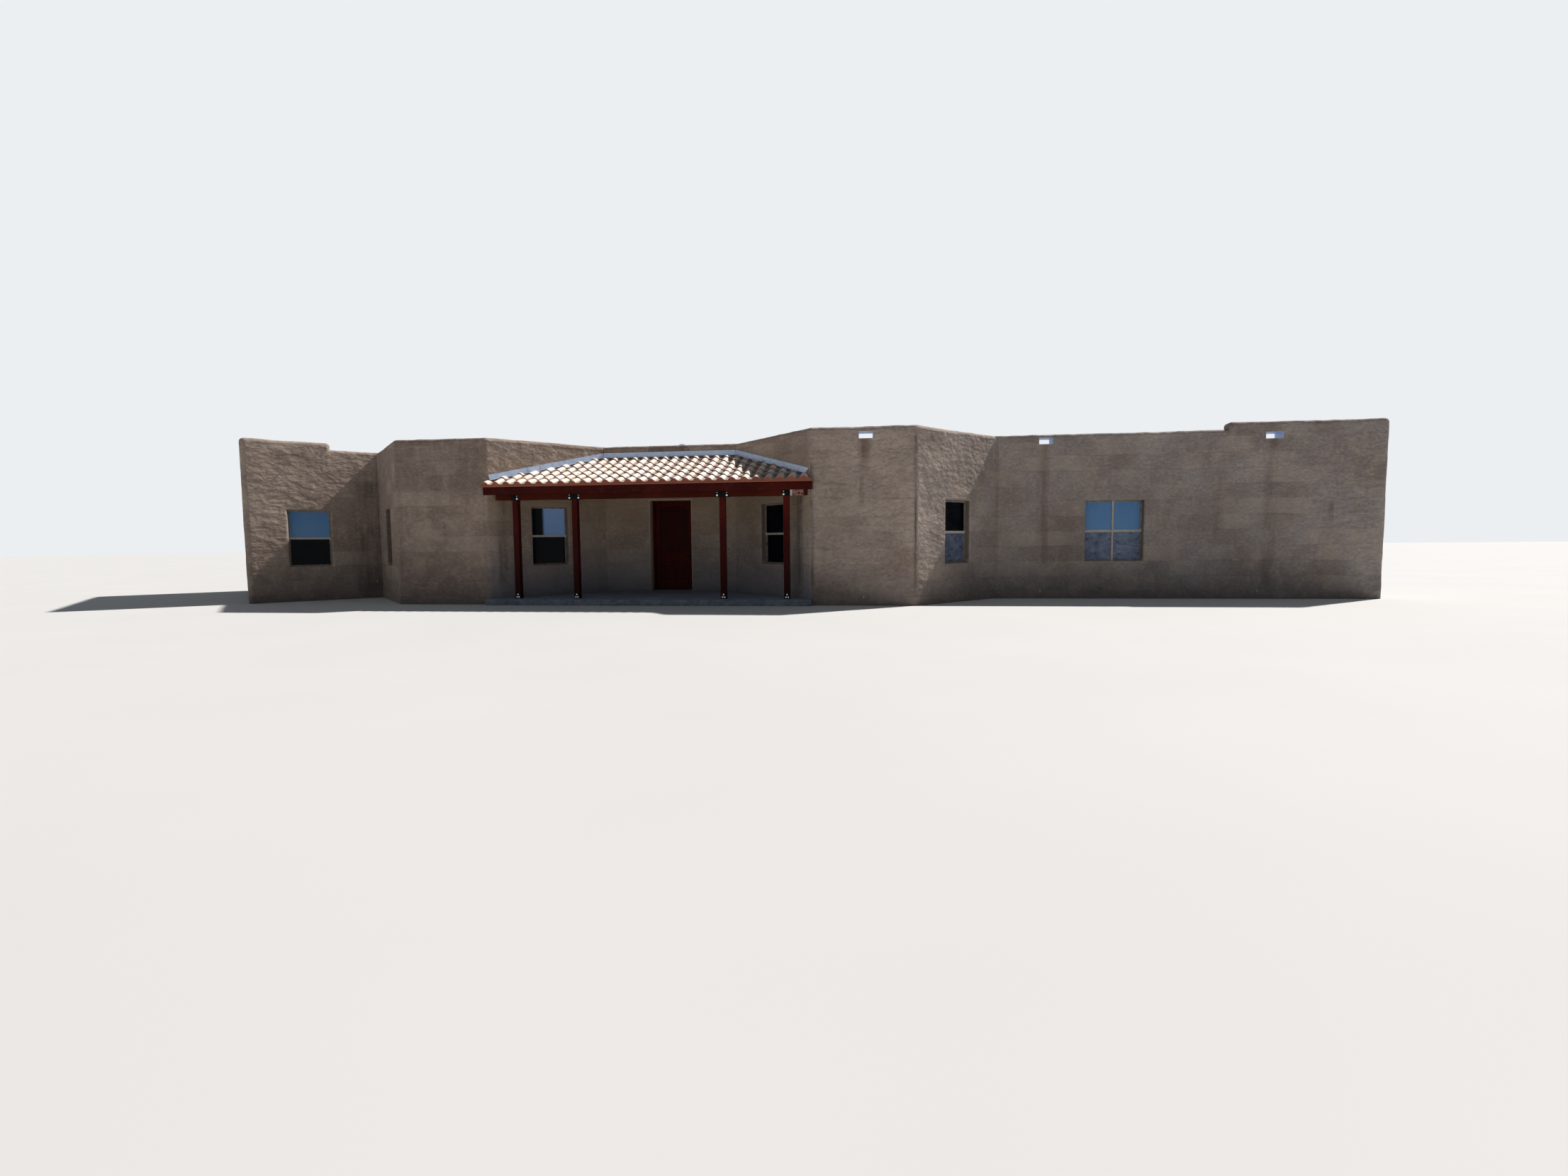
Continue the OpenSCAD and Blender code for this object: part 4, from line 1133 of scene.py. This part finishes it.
# CAD nodes that stay, by the look that they get
NODE_LOOKS = {
    "concrete": ("floor_slab",),
    "roof": ("flat_roof",),
    "zinc": ("roof_vent", "scupper_liners", "side_flashings", "back_flashing"),
    "vinyl": ("wing_window_frame", "return_window_frames", "porch_window_frames",
              "long_wall_window_frame", "rear_window_frames"),
    "front_glass": ("front_window_glass",),
    "rear_glass": ("rear_window_glass",),
    "door": ("door_jambs", "door_frame_head", "front_door"),
    "steel": ("door_threshold", "door_handles", "post_bases", "post_caps"),
    "bronze": ("hinge_jamb_leaves", "hinge_door_leaves"),
    "post": ("porch_posts",),
    "beam": ("porch_beam",),
    "rafter": ("porch_rafters", "porch_roof_boards"),
    "fascia": ("porch_fascia",),
    "stub": ("pipe_stubs",),
}


def paint_nodes(looks):
    for look, nodes in NODE_LOOKS.items():
        for node in nodes:
            for slot in frame["nodes"][node].material_slots:
                slot.material = looks[look]


SOFT_EDGE = 0.005
SOFT_FROM = math.radians(40)


def soften(piece):
    """Rounds the sharp edges of a CAD node a little, as sanded timber has."""
    piece.modifiers.new("weld", "WELD").merge_threshold = WELD
    bevel = piece.modifiers.new("soft_edges", "BEVEL")
    bevel.width = SOFT_EDGE
    bevel.segments = 2
    bevel.limit_method = "ANGLE"
    bevel.angle_limit = SOFT_FROM
    bevel.harden_normals = True


def camera():
    data = bpy.data.cameras.new("photo_camera")
    data.sensor_fit = "HORIZONTAL"
    data.sensor_width = SENSOR
    data.lens = SENSOR * FOCAL_PX / IMAGE_W
    data.clip_end = 500
    right = Vector((math.cos(YAW), math.sin(YAW), 0))
    forward = Vector((-math.sin(YAW) * math.cos(PITCH), math.cos(YAW) * math.cos(PITCH),
                      math.sin(PITCH)))
    up = right.cross(forward)
    rolled_right = math.cos(ROLL) * right + math.sin(ROLL) * up
    rolled_up = math.cos(ROLL) * up - math.sin(ROLL) * right
    turn = Matrix((rolled_right, rolled_up, -forward)).transposed()
    made = add_object("photo_camera", data)
    made.matrix_world = Matrix.Translation(CAMERA_AT) @ turn.to_4x4()
    bpy.context.scene.camera = made


FLOOR_HALF = 160
FLOOR_DROP = 0.002


def floor():
    bm = bmesh.new()
    bmesh.ops.create_grid(bm, x_segments=1, y_segments=1, size=FLOOR_HALF)
    m = Shader("studio_floor", 0.9)
    tone = m.mix(m.noise(m.place(), 0.3, 2.0), srgb(200, 199, 198), srgb(207, 206, 205))
    made = add_object("studio_floor", mesh_from(bm, "studio_floor", m.finish(tone)))
    made.location.z = -FLOOR_DROP


WORLD_LIGHT = 0.1
WORLD_TONE = (0.62, 0.8, 1.0, 1.0)
BACKDROP = srgb(236, 239, 242)
SUN_LIGHT = 5.4
SUN_FROM = (0.53, 0.4, 0.75)
SUN_SOFTNESS = 1.5
FILL_LIGHT = 0.06
FILL_FROM = (-0.5, -0.62, 0.6)
FILL_SOFTNESS = 25
SUN_COLOUR, FILL_COLOUR = (1.0, 0.97, 0.93), (0.96, 0.98, 1.0)


def world():
    """Pale surround for the camera and for reflections, and soft even light for the rest."""
    made = bpy.data.worlds.new("studio")
    bpy.context.scene.world = made
    made.use_nodes = True
    nodes, link = made.node_tree.nodes, made.node_tree.links.new
    nodes.clear()
    paths = nodes.new("ShaderNodeLightPath")
    seen = paths.outputs["Is Camera Ray"]
    for ray in ("Is Glossy Ray", "Is Transmission Ray"):
        either = nodes.new("ShaderNodeMath")
        either.operation = "MAXIMUM"
        link(seen, either.inputs[0])
        link(paths.outputs[ray], either.inputs[1])
        seen = either.outputs[0]
    mixed = nodes.new("ShaderNodeMixShader")
    link(seen, mixed.inputs[0])
    for k, (colour, strength) in enumerate(((WORLD_TONE, WORLD_LIGHT), (BACKDROP, 1.0))):
        light = nodes.new("ShaderNodeBackground")
        light.inputs["Color"].default_value = colour
        light.inputs["Strength"].default_value = strength
        link(light.outputs[0], mixed.inputs[k + 1])
    link(mixed.outputs[0], nodes.new("ShaderNodeOutputWorld").inputs["Surface"])


def sun(name, strength, toward, softness, colour):
    data = bpy.data.lights.new(name, "SUN")
    data.energy = strength
    data.angle = math.radians(softness)
    data.color = colour
    made = add_object(name, data)
    made.rotation_mode = "QUATERNION"
    made.rotation_quaternion = Vector(toward).to_track_quat("Z", "Y")


# Stretch along X where the beam's stain has peeled
PEELED_X = (3.58, 3.86)


def build():
    looks = {
        "concrete": concrete("floor_concrete", srgb(92, 96, 102), srgb(128, 130, 132),
                             srgb(96, 86, 76)),
        "stub": concrete("painted_stub", srgb(196, 184, 168), srgb(222, 214, 202),
                         srgb(150, 132, 112)),
        "roof": roof_coating(), "zinc": galvanised(), "vinyl": window_vinyl(),
        "front_glass": glass(True), "rear_glass": glass(False),
        "steel": worn_metal("blackened_steel", 0.6, (24.0, 5.0, 0.7), (0.5, 0.78, 0.0, 0.5),
                            srgb(9, 9, 11), srgb(34, 27, 24), (0.4, 0.65), (0.0015, 0.5),
                            Specular_IOR_Level=0.08),
        "bronze": worn_metal("aged_bronze", 0.42, (30.0, 5.0, 0.65), (0.35, 0.7),
                             srgb(104, 84, 56), srgb(168, 142, 98), (0.32, 0.58),
                             (0.0008, 0.4), Metallic=0.85),
        "post": wood("stained_post", srgb(50, 11, 9), srgb(84, 22, 18), srgb(100, 32, 25), 2,
                     foot=srgb(31, 9, 8)),
        "beam": wood("stained_beam", srgb(48, 14, 7), srgb(77, 24, 11), srgb(92, 33, 17), 0,
                     peeled=PEELED_X),
        "fascia": wood("stained_fascia", srgb(46, 12, 10), srgb(74, 21, 17), srgb(86, 29, 23), 0,
                       bleach=0.22),
        "rafter": wood("stained_rafter", srgb(56, 24, 14), srgb(98, 48, 30), srgb(122, 68, 44), 1,
                       0.6),
        "door": wood("mahogany_door", srgb(36, 5, 4), srgb(80, 14, 11), srgb(98, 23, 17), 2, 0.5,
                     panels=True),
    }
    paint_nodes(looks)
    for node in ("porch_posts", "porch_beam", "porch_fascia"):
        soften(frame["nodes"][node])
    trowelled = stucco()
    for node in WALLS:
        stucco_wall(node, trowelled, REAR_STEP if node in REAR_WALLS else WALL_STEP)
    worn_porch_slab(concrete("porch_concrete", srgb(70, 78, 96), srgb(104, 114, 130),
                             srgb(84, 88, 94), front=srgb(142, 150, 160)))
    # Tones of a cream-washed clay, made paler as painted sunlight
    roof_tiles(clay("clay_tile_painted_sun", srgb(248, 240, 232), srgb(236, 219, 206),
                    srgb(200, 166, 148), srgb(140, 96, 80)))
    eave_closures(clay("clay_closure", srgb(168, 98, 76), srgb(142, 80, 62), srgb(112, 64, 52),
                       srgb(158, 98, 78)))
    post_bolts(worn_metal("bright_zinc", 0.28, (120.0, 3.0, 0.6), (0.4, 0.7),
                          srgb(196, 198, 200), srgb(228, 229, 230), (0.2, 0.4), Metallic=0.9))
    flashing_laps(looks["zinc"])
    window_screens(looks["vinyl"], insect_screen())


bpy.context.scene.view_settings.view_transform = "Standard"
camera()
world()
sun("key_sun", SUN_LIGHT, SUN_FROM, SUN_SOFTNESS, SUN_COLOUR)
sun("front_fill", FILL_LIGHT, FILL_FROM, FILL_SOFTNESS, FILL_COLOUR)
floor()
build()
